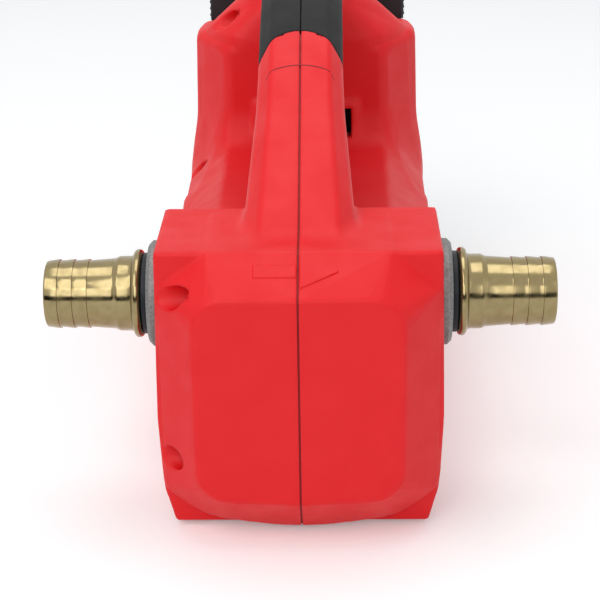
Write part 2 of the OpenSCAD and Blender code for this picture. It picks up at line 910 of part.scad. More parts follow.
module field_magnets() {
    r = motor_r - can_t;
    reach = 2 * motor_r;
    half = magnet_angle / 2;
    color("darkslategray") in_frame() on_shaft(motor_y + magnet_start)
        for (k = [0:magnet_count - 1]) rotate(45 + 360 / magnet_count * k)
            linear_extrude(magnet_len) intersection() {
                difference() {
                    circle(r = r);
                    circle(r = r - magnet_t);
                }
                polygon([[0, 0], reach * [cos(half), -sin(half)], reach * [cos(half), sin(half)]]);
            }
}

module motor_end_cap() {
    color("dimgray") in_frame() on_shaft(cap_y) difference() {
        cylinder(r = motor_r, h = cap_t);
        translate([0, 0, -eps]) cylinder(r = bush_r, h = bush_w + eps);
        translate([0, 0, -eps]) cylinder(r = rotor_shaft_r + loose, h = cap_t + 2 * eps);
    }
}

module brush_holders() {
    color("goldenrod") in_frame() mirrored() difference() {
        translate([0, 0, -shaft_drop])
            box([commutator_r + 2, brush_y - brush_w / 2 - holder_t, -brush_h / 2 - holder_t],
                [commutator_r + 2 + holder_len, cap_y, brush_h / 2 + holder_t]);
        translate([0, 0, -shaft_drop]) box([commutator_r, brush_y - brush_w / 2, -brush_h / 2],
            [commutator_r + 3 * holder_len, brush_y + brush_w / 2, brush_h / 2]);
    }
}

module carbon_brushes() {
    color("black") in_frame() mirrored() translate([0, 0, -shaft_drop])
        box([commutator_r + running, brush_y - brush_w / 2, -brush_h / 2],
            [commutator_r + brush_len, brush_y + brush_w / 2, brush_h / 2]);
}

module motor_bushes() {
    color("peru") in_frame() for (y = [motor_y + can_t, cap_y])
        on_shaft(y) ring_solid(bush_r, rotor_shaft_r + running, bush_w);
}

module pump_shaft() {
    start = -chamber_front + wear_t + impeller_gap;
    color("silver") in_frame() on_shaft(start)
        cylinder(r = pump_shaft_r, h = carrier_y + carrier_t - start);
}

module impeller_blank(r) {
    cylinder(r = hub_r, h = chamber_d - wear_t - 2 * impeller_gap);
    for (k = [0:vane_count - 1]) rotate(360 / vane_count * k) {
        box([0, -vane_t / 2, 0], [r - vane_tip_r, vane_t / 2, chamber_d - wear_t - 2 * impeller_gap]);
        translate([r - vane_tip_r, 0, 0])
            cylinder(r = vane_tip_r, h = chamber_d - wear_t - 2 * impeller_gap);
    }
}

module impeller() {
    color("black") in_frame() on_shaft(-chamber_front + wear_t + impeller_gap) difference() {
        impeller_blank(chamber_r - cam_t - impeller_gap);
        translate([0, 0, -eps]) cylinder(r = insert_r, h = chamber_d + eps);
    }
}

module impeller_insert() {
    color("gold") in_frame() on_shaft(-chamber_front + wear_t + impeller_gap)
        ring_solid(insert_r, pump_shaft_r, chamber_d - wear_t - 2 * impeller_gap);
}

module planet_carrier() {
    color("silver") in_frame() on_shaft(carrier_y) difference() {
        cylinder(r = carrier_r, h = carrier_t);
        translate([0, 0, -eps]) cylinder(r = pump_shaft_r, h = carrier_t + 2 * eps);
        for (k = [0:2]) rotate(120 * k) translate([arm_r, 0, -eps])
            cylinder(r = pin_r, h = carrier_t + 2 * eps);
    }
}

module carrier_pins() {
    color("silver") in_frame() on_shaft(carrier_y) for (k = [0:2]) rotate(120 * k)
        translate([arm_r, 0, 0]) cylinder(r = pin_r, h = carrier_t + 2 * gear_gap + planet_w);
}

module planet_gear(k) {
    color("goldenrod") in_frame() on_shaft(planet_y) rotate(120 * k) translate([arm_r, 0, 0])
        difference() {
            linear_extrude(planet_w) rotate(180 / planet_teeth)
                polygon(gear_outline(planet_teeth, planet_pitch_r - 1.25 * tooth_m,
                    planet_pitch_r + tooth_m, tooth_play_share));
            translate([0, 0, -eps]) cylinder(r = pin_r + running, h = planet_w + 2 * eps);
        }
}

module planet_gear_1() planet_gear(0);

module planet_gear_2() planet_gear(1);

module planet_gear_3() planet_gear(2);

module motor_shaft() {
    end = cap_y + cap_t + fan_gap + fan_t;
    color("silver") in_frame() {
        on_shaft(planet_y) cylinder(r = pinion_shaft_r, h = motor_y - planet_y);
        on_shaft(motor_y) cylinder(r = rotor_shaft_r, h = end - motor_y);
    }
}

module sun_pinion() {
    color("silver") in_frame() on_shaft(planet_y) difference() {
        linear_extrude(planet_w + gear_gap)
            polygon(gear_outline(sun_teeth, sun_pitch_r - 1.25 * tooth_m, sun_pitch_r + tooth_m,
                tooth_play_share));
        translate([0, 0, -eps]) cylinder(r = pinion_shaft_r, h = planet_w + 3 * eps);
    }
}

module armature_core() {
    slot = 2 * PI * armature_r * slot_w_share / slot_count * 2;
    color("gray") in_frame() on_shaft(motor_y + core_start) difference() {
        cylinder(r = armature_r, h = core_len);
        translate([0, 0, -eps]) cylinder(r = rotor_shaft_r, h = core_len + 2 * eps);
        for (k = [0:slot_count - 1]) rotate(360 / slot_count * k)
            box([0.6 * armature_r, -slot / 2, -eps], [2 * armature_r, slot / 2, core_len + eps]);
    }
}

module windings() {
    color("chocolate") in_frame() {
        on_shaft(motor_y + core_start - coil_t) ring_solid(coil_r, coil_bore_share * coil_r, coil_t);
        on_shaft(motor_y + core_start + core_len) ring_solid(coil_r, coil_bore_share * coil_r, coil_t);
    }
}

module commutator() {
    color("chocolate") in_frame() on_shaft(commutator_y)
        ring_solid(commutator_r, rotor_shaft_r, commutator_len);
}

module cooling_fan() {
    color("ivory") in_frame() on_shaft(cap_y + cap_t + fan_gap) difference() {
        union() {
            cylinder(r = fan_r, h = fan_disc_t);
            cylinder(r = fan_hub_r, h = fan_t);
            for (k = [0:fan_blades - 1]) rotate(360 / fan_blades * k)
                box([fan_hub_r / 2, -fan_blade_t / 2, 0], [fan_r, fan_blade_t / 2, fan_t]);
        }
        translate([0, 0, -eps]) cylinder(r = rotor_shaft_r, h = fan_t + 2 * eps);
    }
}

module switch_body() {
    half_w = slot_w / 2 + switch_wall;
    half_h = slot_h / 2 + switch_wall + rocker_pin_len / 2;
    color("black") in_frame() translate([0, wall_y + wall, switch_z]) difference() {
        box([-half_w, 0, -half_h], [half_w, switch_d, half_h]);
        box([-slot_w / 2, -eps, -slot_h / 2], [slot_w / 2, 2 * rocker_pin_r + 1.5 * rocker_back, slot_h / 2]);
        translate([0, 2 * rocker_pin_r, -slot_h]) cylinder(r = rocker_pin_r + running, h = 2 * slot_h);
    }
}

// Two-way rocker, drawn in its off position
module rocker() {
    half = rocker_w / 2;
    color("black") in_frame() translate([0, pivot_y, switch_z]) rotate(-rocker_throw) {
        translate([0, 0, -rocker_h / 2]) linear_extrude(rocker_h) polygon([
            [-half, -rocker_front - rocker_horn], [-0.4 * half, -rocker_front], [0.4 * half, -rocker_front],
            [half, -rocker_front - rocker_horn], [half, -rocker_side],
            [rocker_back_w / 2, rocker_back], [-rocker_back_w / 2, rocker_back], [-half, -rocker_side]
        ]);
        translate([0, 0, -rocker_h / 2 - rocker_pin_len])
            cylinder(r = rocker_pin_r, h = rocker_h + 2 * rocker_pin_len);
    }
}

// Receiver plate with the two rails that hold the pack
module battery_rails() {
    color("dimgray") in_frame() difference() {
        union() {
            box([-rail_out, recess_y, -rail_z0], [rail_out, recess_y + rail_plate_t, rail_len - rail_z0]);
            mirrored() {
                box([rail_in + rail_lip_w, recess_y, -rail_z0],
                    [rail_out, recess_y + rail_plate_t + rail_slot + rail_lip_t - loose, rail_len - rail_z0]);
                box([rail_in, recess_y + rail_plate_t + rail_slot, -rail_z0],
                    [rail_out, recess_y + rail_plate_t + rail_slot + rail_lip_t - loose, rail_len - rail_z0]);
            }
        }
        box([-block_half - loose, recess_y - eps, -rail_z0 - eps],
            [block_half + loose, recess_y + rail_plate_t + eps, -block_z1 + loose]);
    }
}

module terminal_block() {
    color("black") in_frame() difference() {
        box([-block_half, recess_y - 3 * wall, -block_z0],
            [block_half, recess_y + rail_plate_t + rail_slot, -block_z1]);
        blades(0);
    }
}

module blades(grow) {
    for (k = [0:blade_count - 1])
        translate([(k - (blade_count - 1) / 2) * blade_pitch, blade_y, -block_z0 + wall])
            box([-blade_t / 2 - grow, -blade_w / 2 - grow, 0],
                [blade_t / 2 + grow, blade_w / 2 + grow, block_z0 - block_z1 - wall + blade_len]);
}

module terminal_blades() {
    color("gold") in_frame() blades(0);
}

// Tube along a route of points, straight in Y and Z
function unit(v) = v / norm(v);
function tangent(route, i) = unit(route[min(i + 1, len(route) - 1)] - route[max(i - 1, 0)]);
module lead(route) {
    loft([
        for (i = [0:len(route) - 1])
            let (t = tangent(route, i), u = unit(cross(t, [1, 0.01, 0])), v = cross(t, u))
            [for (k = [0:lead_sides - 1]) let (a = 360 / lead_sides * k)
                route[i] + lead_r * (cos(a) * u + sin(a) * v)]
    ]);
}

module red_leads() {
    color("red") in_frame() {
        lead(supply_route);
        lead(motor_route);
    }
}

module black_leads() {
    color("black") in_frame() mirror([1, 0, 0]) {
        lead(supply_route);
        lead(motor_route);
    }
}

// Outline of the pack seen along Y, t inside its outer faces
module pack_slab(y0, y1, t) {
    x = pack_w / 2 - t;
    e = pack_corner;
    z0 = -pack_base + t;
    z1 = pack_h - pack_base - t;
    translate([0, y1, 0]) rotate([90, 0, 0]) linear_extrude(y1 - y0)
        polygon([
            [-x + e, z0], [x - e, z0], [x, z0 + e], [x, z1 - e],
            [x - e, z1], [-x + e, z1], [-x, z1 - e], [-x, z0 + e]
        ]);
}

module button_opening(grow) {
    y = pack_y + pack_split + button_y;
    mirrored() box([pack_w / 4, y - grow, button_z - grow],
        [pack_w, y + button_w + grow, button_z + button_h + grow]);
}

module arm_slot() {
    z = button_z + button_h / 2;
    mirrored() box([recess_w - loose - arm_t - release_travel - 2 * loose, recess_y, z - arm_h / 2 - loose],
        [recess_w, pack_y + pack_split + eps, z + arm_h / 2 + loose]);
}

module pack_front_shell() {
    neck = rail_in - 2 * loose;
    wide = rail_in + rail_lip_w - 2 * loose;
    tower_y0 = recess_y + rail_plate_t + 2 * loose;
    groove_y0 = recess_y + rail_plate_t + rail_slot - 2 * loose;
    tower_z1 = tower_h - tower_z0;
    color("dimgray") in_frame() difference() {
        union() {
            pack_slab(pack_y, pack_y + pack_split, 0);
            box([-wide, tower_y0, -tower_z0], [wide, groove_y0, tower_z1]);
            box([-neck, tower_y0, -tower_z0], [neck, pack_y + pack_wall, tower_z1]);
        }
        pack_slab(pack_y + pack_wall, pack_y + pack_split + eps, pack_wall);
        box([-neck + pack_wall, tower_y0 + pack_wall, -tower_z0 + 3 * pack_wall + blade_len],
            [neck - pack_wall, pack_y + pack_wall + eps, tower_z1 - pack_wall]);
        for (k = [0:blade_count - 1])
            translate([(k - (blade_count - 1) / 2) * blade_pitch, 0, 0])
                box([-blade_slot / 2, blade_y - blade_w / 2 - 2 * loose, -tower_z0 - eps],
                    [blade_slot / 2, blade_y + blade_w / 2 + 2 * loose, -tower_z0 + blade_len]);
        arm_slot();
    }
}

module pack_rear_shell() {
    y1 = pack_y + pack_d;
    color("dimgray") in_frame() difference() {
        union() {
            difference() {
                union() {
                    pack_slab(pack_y + pack_split, y1 - pack_edge, 0);
                    hull() {
                        pack_slab(y1 - pack_edge, y1 - pack_edge / 2, 0);
                        pack_slab(y1 - pack_edge / 2, y1, pack_edge / 2);
                    }
                }
                pack_slab(pack_y + pack_split - eps, y1 - pack_wall, pack_wall);
            }
            mirrored() box([rib_x - pack_wall, pack_y + pack_split, button_z],
                [rib_x, y1 - pack_wall, pack_h - pack_base - pack_wall]);
        }
        button_opening(loose);
        translate([0, y1 - pack_wall - eps, gauge_z]) rotate([-90, 0, 0])
            translate([-gauge_x, 0, 0]) cylinder(r = gauge_r + loose, h = pack_wall + 2 * eps);
        lights(0, pack_wall + eps);
    }
}

module lights(grow, depth) {
    for (k = [0:light_count - 1])
        translate([k * light_pitch - 0.2 * gauge_x, pack_y + pack_d, gauge_z])
            box([-light_w / 2 - grow, -depth, -light_h / 2 - grow],
                [light_w / 2 + grow, 0, light_h / 2 + grow]);
}

module gauge_lights() {
    color("seagreen") in_frame() lights(0, pack_wall);
}

module gauge_button() {
    y = pack_y + pack_d;
    color("gray") in_frame() translate([-gauge_x, y + gauge_proud, gauge_z]) rotate([90, 0, 0]) {
        cylinder(r = gauge_r, h = pack_wall + 2 * gauge_proud);
        translate([0, 0, pack_wall + 1.5 * gauge_proud]) cylinder(r = gauge_r + 2 * loose, h = gauge_proud);
    }
}

module pack_cells() {
    y = pack_y + pack_d - pack_wall - cell_back_gap - cell_r;
    color("royalblue") in_frame() for (row = [0, 1]) for (k = [0:cell_rows - 1])
        along_x(-cell_len / 2, y - row * cell_pitch, -cell_z0 + k * cell_pitch)
            cylinder(r = cell_r, h = cell_len);
}

module pack_board() {
    y = pack_y + pack_wall;
    color("green") in_frame()
        box([-board_w / 2, y, -board_h / 2 - wall], [board_w / 2, y + board_t, board_h / 2 - wall]);
}

module pack_contacts() {
    half = blade_t / 2 + clip_gap;
    color("gold") in_frame() for (k = [0:blade_count - 1])
        translate([(k - (blade_count - 1) / 2) * blade_pitch, blade_y, -tower_z0])
            difference() {
                box([-half - clip_t, -blade_w / 2, eps], [half + clip_t, blade_w / 2, blade_len]);
                box([-half, -blade_w, 0], [half, blade_w, blade_len - clip_t]);
            }
}

// Release button with its flange and latch arm, on the +X side
module release() {
    y = pack_y + pack_split + button_y;
    z = button_z + button_h / 2;
    x0 = pack_w / 2 + button_proud - button_depth;
    inner = pack_w / 2 - pack_wall - loose;
    box([x0, y, button_z], [pack_w / 2 + button_proud, y + button_w, button_z + button_h]);
    box([inner - flange_t, y - flange_w, button_z - flange_w / 2],
        [inner, y + button_w + flange_w, button_z + button_h + flange_w / 2]);
    box([recess_w - 2 * loose - arm_t, recess_y + rail_plate_t, z - arm_h / 2],
        [recess_w - 2 * loose, y + arm_t, z + arm_h / 2]);
    box([recess_w - 2 * loose - arm_t, y, z - arm_h / 2], [inner, y + arm_t, z + arm_h / 2]);
}

module left_release() {
    color("gray") in_frame() mirror([1, 0, 0]) release();
}

module right_release() {
    color("gray") in_frame() release();
}

module release_spring() {
    inner = pack_w / 2 - pack_wall - loose - flange_t;
    along_x(rib_x, pack_y + pack_split + button_y + 0.6 * button_w, button_z + button_h / 2)
        ring_solid(spring_r, spring_bore_share * spring_r, inner - rib_x);
}

module left_release_spring() {
    color("silver") in_frame() mirror([1, 0, 0]) release_spring();
}

module right_release_spring() {
    color("silver") in_frame() release_spring();
}

left_housing();
right_housing();
housing_screws();
left_grip();
right_grip();
rubber_feet();
pump_head();
pump_cover();
cover_seal();
cover_screws();
wear_plate();
cam_insert();
inlet_barb();
outlet_barb();
inlet_gasket();
outlet_gasket();
shaft_seal();
front_bearing();
rear_bearing();
gearcase();
gearcase_screws();
ring_gear();
motor_can();
field_magnets();
motor_end_cap();
brush_holders();
carbon_brushes();
motor_bushes();
pump_shaft();
impeller();
impeller_insert();
planet_carrier();
carrier_pins();
planet_gear_1();
planet_gear_2();
planet_gear_3();
motor_shaft();
sun_pinion();
armature_core();
windings();
commutator();
cooling_fan();
switch_body();
rocker();
battery_rails();
terminal_block();
terminal_blades();
red_leads();
black_leads();
pack_front_shell();
pack_rear_shell();
pack_cells();
pack_board();
pack_contacts();
left_release();
right_release();
left_release_spring();
right_release_spring();
gauge_button();
gauge_lights();
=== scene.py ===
# Battery transfer pump: its outer mouldings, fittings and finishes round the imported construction.
# Lengths are millimetres from the middle of the port axis: x to the outlet, y to the battery, z up.
import bpy
import itertools
import json
import math
import numpy as np
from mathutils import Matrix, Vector


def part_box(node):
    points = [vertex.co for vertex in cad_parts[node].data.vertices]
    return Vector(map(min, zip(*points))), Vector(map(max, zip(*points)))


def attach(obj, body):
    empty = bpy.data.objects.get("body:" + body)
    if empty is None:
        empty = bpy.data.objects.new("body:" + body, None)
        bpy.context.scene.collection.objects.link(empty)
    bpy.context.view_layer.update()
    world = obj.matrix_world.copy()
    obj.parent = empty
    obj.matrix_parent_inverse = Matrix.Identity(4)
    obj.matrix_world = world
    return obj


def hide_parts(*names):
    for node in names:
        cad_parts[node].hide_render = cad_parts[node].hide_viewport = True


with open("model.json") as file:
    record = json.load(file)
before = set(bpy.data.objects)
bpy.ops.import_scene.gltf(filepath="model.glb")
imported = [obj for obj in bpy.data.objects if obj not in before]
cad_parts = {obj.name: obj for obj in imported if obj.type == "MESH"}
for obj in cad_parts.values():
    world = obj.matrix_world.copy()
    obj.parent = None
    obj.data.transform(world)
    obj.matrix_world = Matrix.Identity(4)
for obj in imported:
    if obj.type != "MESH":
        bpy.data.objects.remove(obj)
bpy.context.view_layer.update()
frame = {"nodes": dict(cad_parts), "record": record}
print("frame loaded")

gasketLow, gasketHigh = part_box("outlet_gasket")
portPoint = np.array([0, (gasketLow.y + gasketHigh.y) / 2, (gasketLow.z + gasketHigh.z) / 2]) * 1000


def cadRange(node):
    # lowest and highest corner of a node, in millimetres from the port axis
    low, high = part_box(node)
    return np.array(low) * 1000 - portPoint, np.array(high) * 1000 - portPoint


# Fields are negative inside a solid and count millimetres outside it.

def softMax(a, b, r):
    # the larger of two fields, their meeting edge rounded over r
    h = np.maximum(r - np.abs(a - b), 0) / r
    return np.maximum(a, b) + h * h * r / 4


def softMin(a, b, r):
    # the smaller of two fields, their meeting corner filled over r
    return -softMax(-a, -b, r)


def hullFaces(points):
    # planes of the smallest convex solid round the points: every plane through three of them that
    # has all the others on one side; the solids are mirrored, so only those that face +x are kept
    pts = np.array(points, float)
    i, j, k = np.array(list(itertools.combinations(range(len(pts)), 3))).T
    normal = np.cross(pts[j] - pts[i], pts[k] - pts[i])
    size = np.linalg.norm(normal, axis=1)
    normal = normal[size > 1e-3] / size[size > 1e-3, None]
    start = (normal * pts[i][size > 1e-3]).sum(1)
    side = pts @ normal.T - start
    planes = np.column_stack([normal, start])
    planes = np.vstack([planes[side.max(0) < 1e-3], -planes[side.min(0) > -1e-3]])
    planes = np.unique(np.round(planes, 3) + 0.0, axis=0).astype(np.float32)
    return planes[planes[:, 0] > -1e-3]


def convexField(x, y, z, faces, radius):
    # the largest distance to the planes, every edge rounded to one radius: the blend of two planes
    # is as wide as the radius times one minus the cosine of the angle between them
    slope, start = faces[0, :3], faces[0, 3]
    field = slope[0] * x + slope[1] * y + slope[2] * z - start
    for face in faces[1:]:
        side = face[0] * x + face[1] * y + face[2] * z - face[3]
        reach = radius * (1 - sum(g * n for g, n in zip(slope, face))) + 1e-3
        h = np.maximum(reach - np.abs(field - side), 0) / reach
        share = np.where(side > field, 1 - h / 2, h / 2)
        slope = [g + (n - g) * share for g, n in zip(slope, face)]
        field = np.maximum(field, side) + h * h * reach / 4
    return field


def boxField(x, y, z, low, high, r):
    # the largest distance past the six sides, their edges rounded over r
    field = np.maximum(low[0] - x, x - high[0])
    field = softMax(field, np.maximum(low[1] - y, y - high[1]), r)
    return softMax(field, np.maximum(low[2] - z, z - high[2]), r)


def tubeField(a, b, centre, radius):
    # distance to the axis less the radius; a and b are the two coordinates across the axis
    return np.hypot(a - centre[0], b - centre[1]) - radius


def newPiece(name, points, faces, material):
    # points in millimetres from the port axis go to metres in the shared frame
    mesh = bpy.data.meshes.new(name)
    mesh.from_pydata((np.asarray(points, float) + portPoint) / 1000, [], faces)
    mesh.update()
    mesh.validate()
    mesh.shade_smooth()
    mesh.materials.append(material)
    piece = bpy.data.objects.new(name, mesh)
    bpy.context.scene.collection.objects.link(piece)
    return piece


def slopeOf(field, p, h=0.04):
    # gradient by differences over h to both sides, scaled to length one, a row for each point
    steps = np.eye(3, dtype=np.float32) * h
    rows = [field(*(p + s).T) - field(*(p - s).T) for s in steps]
    slope = np.stack(rows, 1)
    return slope / np.maximum(np.linalg.norm(slope, axis=1), 1e-9)[:, None]


def fieldPiece(name, field, low, high, step, material):
    # skin of a field: each grid edge that the skin crosses gives a point and a slope, each cell gets
    # the corner that fits its edges' tangent planes best (least squares, drawn a little to their
    # mean), and each crossed edge gives one quad through the corners of its four cells
    pull, inset = 0.06, 0.35  # a corner's share of the mean; how far into a face its shading is read
    axes = [np.arange(a - 1.5 * s, b + 2.5 * s, s, dtype=np.float32) for a, b, s in zip(low, high, step)]
    value = field(axes[0][:, None, None], axes[1][None, :, None], axes[2][None, None, :])
    value = value.astype(np.float32)
    inside = value < 0
    cells = np.array(value.shape) - 1
    points, slopes, rings = [], [], []
    for d in range(3):
        near = [slice(None)] * 3
        far = [slice(None)] * 3
        near[d], far[d] = slice(0, -1), slice(1, None)
        at = np.argwhere(inside[tuple(near)] != inside[tuple(far)])
        end = at.copy()
        end[:, d] += 1
        lowValue, highValue = value[tuple(at.T)], value[tuple(end.T)]
        start = np.stack([axes[c][at[:, c]] for c in range(3)], 1)
        lowT, highT = np.zeros(len(at), np.float32), np.ones(len(at), np.float32)
        for _ in range(4):  # closes in on the crossing
            t = lowT + (highT - lowT) * np.clip(lowValue / (lowValue - highValue), 0.1, 0.9)
            p = start.copy()
            p[:, d] += t * step[d]
            here = field(*p.T).astype(np.float32)
            same = (here < 0) == (lowValue < 0)
            lowT, lowValue = np.where(same, t, lowT), np.where(same, here, lowValue)
            highT, highValue = np.where(same, highT, t), np.where(same, highValue, here)
        t = lowT + (highT - lowT) * lowValue / np.where(lowValue == highValue, 1, lowValue - highValue)
        p = start.copy()
        p[:, d] += t * step[d]
        points.append(p)
        slopes.append(slopeOf(field, p))
        e1, e2 = np.eye(3, dtype=int)[(d + 1) % 3], np.eye(3, dtype=int)[(d + 2) % 3]
        around = [at, at - e1, at - e1 - e2, at - e2]
        rings.append(np.stack([np.ravel_multi_index(c.T, cells) for c in around], 1))
    points, slopes, rings = np.vstack(points), np.vstack(slopes), np.vstack(rings)
    used, corner = np.unique(rings, return_inverse=True)
    corner = corner.reshape(rings.shape)
    owner, count = corner.ravel(), len(used)
    p4, n4 = np.repeat(points, 4, 0), np.repeat(slopes, 4, 0)

    def gather(weight):
        # the sum of a weight over the crossings of each corner
        return np.bincount(owner, weight, count)

    share = gather(np.ones(len(owner)))
    middle = np.stack([gather(p4[:, c]) for c in range(3)], 1) / share[:, None]
    reach = ((p4 - middle[owner]) * n4).sum(1)
    square = np.stack([np.stack([gather(n4[:, a] * n4[:, b]) for a in range(3)], 1) for b in range(3)], 1)
    square += np.eye(3) * pull * share[:, None, None]
    aim = np.stack([gather(n4[:, a] * reach) for a in range(3)], 1)
    place = middle + np.linalg.solve(square, aim[..., None])[..., 0]
    cell = np.stack(np.unravel_index(used, cells), 1)
    cellLow = np.stack([axes[c][cell[:, c]] for c in range(3)], 1)
    place = np.clip(place, cellLow, cellLow + np.array(step))
    # faces point the way the field rises
    quad = place[corner]
    facing = (np.cross(quad[:, 2] - quad[:, 0], quad[:, 3] - quad[:, 1]) * slopes).sum(1)
    corner = np.where(facing[:, None] < 0, corner[:, ::-1], corner)
    piece = newPiece(name, place, corner, material)
    # shading follows the field's own slope, taken a little inside each face so that edges stay crisp
    quad = place[corner]
    sample = ((1 - inset) * quad + inset * quad.mean(1, keepdims=True)).reshape(-1, 3)
    piece.data.normals_split_custom_set(slopeOf(field, sample.astype(np.float32), 0.08))
    print(name, len(corner) * 2, "triangles")
    return piece


def turnedPiece(name, profile, side, material, turns=96):
    # a profile of (distance along the port axis, radius) carried round that axis; side is +1 or -1
    profile = np.array(profile, float)
    angle = np.arange(turns) * 2 * math.pi / turns
    x = np.repeat(profile[:, :1] * side, turns, 1)
    y = profile[:, 1:] * np.cos(angle)
    z = profile[:, 1:] * np.sin(angle) * side
    points = np.stack([x, y, z], 2).reshape(-1, 3)
    return newPiece(name, points, loopFaces(len(profile), turns), material)


def loopFaces(rings, turns):
    # quads of a closed surface of rings, the last ring joined to the first
    i, j = np.meshgrid(np.arange(rings), np.arange(turns), indexing="ij")
    a, b = i * turns + j, i * turns + (j + 1) % turns
    c, d = ((i + 1) % rings) * turns + (j + 1) % turns, ((i + 1) % rings) * turns + j
    return np.stack([a, d, c, b], 2).reshape(-1, 4)


def roundCorner(points, size, steps=5):
    # a closed outline with each corner replaced by a curve that starts size away from it
    points = np.array(points, float)
    before, after = np.roll(points, 1, 0) - points, np.roll(points, -1, 0) - points
    lengthB, lengthA = np.linalg.norm(before, axis=1), np.linalg.norm(after, axis=1)
    size = np.minimum(np.broadcast_to(size, len(points)), 0.45 * np.minimum(lengthB, lengthA))
    start = points + before / lengthB[:, None] * size[:, None]
    end = points + after / lengthA[:, None] * size[:, None]
    t = np.linspace(0, 1, steps)[None, :, None]
    curve = (1 - t) ** 2 * start[:, None] + 2 * t * (1 - t) * points[:, None] + t * t * end[:, None]
    return curve.reshape(-1, points.shape[1])


def linear(hexColour):
    # an sRGB hex colour as the linear colour that shaders read
    value = np.array([int(hexColour[i:i + 2], 16) for i in (1, 3, 5)]) / 255
    value = np.where(value < 0.04045, value / 12.92, ((value + 0.055) / 1.055) ** 2.4)
    return (*value, 1.0)


def addNode(tree, kind, inputs=None, links=None, **settings):
    # a node with its settings, its fixed inputs and its links as {input: (node, output)}
    node = tree.nodes.new(kind)
    for key, value in settings.items():
        setattr(node, key, value)
    for key, value in (inputs or {}).items():
        node.inputs[key].default_value = value
    for key, (source, socket) in (links or {}).items():
        tree.links.new(source.outputs[socket], node.inputs[key])
    return node


def perMetre(millimetres):
    # a texture scale whose pattern repeats about once in that length
    return 1000 / millimetres


def newMaterial(name, colour, other, roughness, metallic=0.0, ior=1.5, grain=0.6, grainDepth=0.02,
                blotch=9.0, blotchShare=0.35, roughSwing=0.06):
    # two close colours mixed by soft noise, a roughness that drifts with the same noise, and a fine
    # grain as bump; grain, its depth and blotch are lengths in millimetres
    material = bpy.data.materials.new(name)
    material.use_nodes = True
    tree = material.node_tree
    shader = tree.nodes["Principled BSDF"]
    shader.inputs["Metallic"].default_value = metallic
    if metallic < 0.5:  # handled plastic and rubber mirror a little less than clean ones
        shader.inputs["IOR"].default_value = ior
        shader.inputs["Specular IOR Level"].default_value = 0.32
    place = addNode(tree, "ShaderNodeTexCoord")
    drift = addNode(tree, "ShaderNodeTexNoise", {"Scale": perMetre(blotch), "Detail": 3.0},
                    {"Vector": (place, "Object")})
    amount = addNode(tree, "ShaderNodeMapRange", {"From Min": 0.3, "From Max": 0.7, "To Min": 0.0,
                                                  "To Max": blotchShare}, {"Value": (drift, "Fac")})
    mix = addNode(tree, "ShaderNodeMix", None, {0: (amount, 0)}, data_type="RGBA")
    mix.inputs[6].default_value = linear(colour)
    mix.inputs[7].default_value = linear(other)
    tree.links.new(mix.outputs[2], shader.inputs["Base Color"])
    rough = addNode(tree, "ShaderNodeMapRange", {"From Min": 0.3, "From Max": 0.7,
                                                 "To Min": roughness - roughSwing,
                                                 "To Max": roughness + roughSwing},
                    {"Value": (drift, "Fac")})
    tree.links.new(rough.outputs[0], shader.inputs["Roughness"])
    fine = addNode(tree, "ShaderNodeTexNoise", {"Scale": perMetre(grain), "Detail": 2.0},
                   {"Vector": (place, "Object")})
    bump = addNode(tree, "ShaderNodeBump", {"Strength": 0.6, "Distance": grainDepth / 1000},
                   {"Height": (fine, "Fac")})
    tree.links.new(bump.outputs[0], shader.inputs["Normal"])
    return material


# glass-filled nylon, moulded: satin, with the fine grain of a spark-eroded mould; the real grain of
# about 0.1 mm is drawn 0.5 mm wide, as fine as a render shows, here and in the mouldings below
redNylon = newMaterial("mouldedRedNylon", "#e6141b", "#dd121a", 0.5, ior=1.53, grain=0.5, grainDepth=0.02)
# the same nylon darkened as painted shade, for a joint too fine to model, where the light doesn't reach
paintedShadeNylon = newMaterial("paintedShadeRedNylon", "#8c1216", "#7c0f13", 0.6, ior=1.53, grain=0.5, grainDepth=0.01)
# glass-filled nylon in black, moulded, with a little dust in its grain
blackNylon = newMaterial("mouldedBlackNylon", "#1d1e20", "#26272a", 0.5, ior=1.53, grain=0.6, grainDepth=0.03)
# glass-filled nylon in grey, moulded: the parts that a finger looks for
greyNylon = newMaterial("mouldedGreyNylon", "#4a4c50", "#55575b", 0.48, ior=1.53, grain=0.6, grainDepth=0.03)
# thermoplastic rubber, moulded over the handle: matt, a coarser grain that grips
gripRubber = newMaterial("overmouldRubber", "#1b1b1c", "#262626", 0.74, ior=1.5, grain=1.3, grainDepth=0.12)
# nitrile rubber, moulded: blue-black and smooth
nitrile = newMaterial("nitrileRubber", "#0a0f16", "#10161f", 0.5, ior=1.52, grain=0.8, grainDepth=0.01)
# aluminium, sand-cast and tumbled: grey and grainy, hardly shiny
castAluminium = newMaterial("sandCastAluminium", "#8f8f8e", "#737372", 0.58, metallic=0.75, grain=0.75,
                            grainDepth=0.09, blotch=0.7, blotchShare=0.9)
# brass tube, drawn and polished: bright, with faint water stains
polishedBrass = newMaterial("polishedBrass", "#9a8b66", "#897a54", 0.17, metallic=1.0, grain=1.5,
                            grainDepth=0.006, blotch=3.0, blotchShare=0.7, roughSwing=0.07)
# steel, zinc-plated: a cool grey sheen
zincSteel = newMaterial("zincPlatedSteel", "#b9bbbf", "#9fa2a8", 0.34, metallic=1.0, grain=0.8)
# stainless steel, ground: brighter and smoother than the plated screws
stainless = newMaterial("groundStainless", "#c2c3c5", "#adafb2", 0.28, metallic=1.0, grain=0.5)
# steel, pressed and sintered: dark, a soft shine on the gear teeth
gearSteel = newMaterial("sinteredSteel", "#6f7176", "#5d5f64", 0.42, metallic=1.0, grain=0.6)
# steel, drawn and nickel-plated: the motor's smooth can
motorSteel = newMaterial("nickelPlatedSteel", "#8f9298", "#7d8087", 0.3, metallic=1.0, grain=0.9)
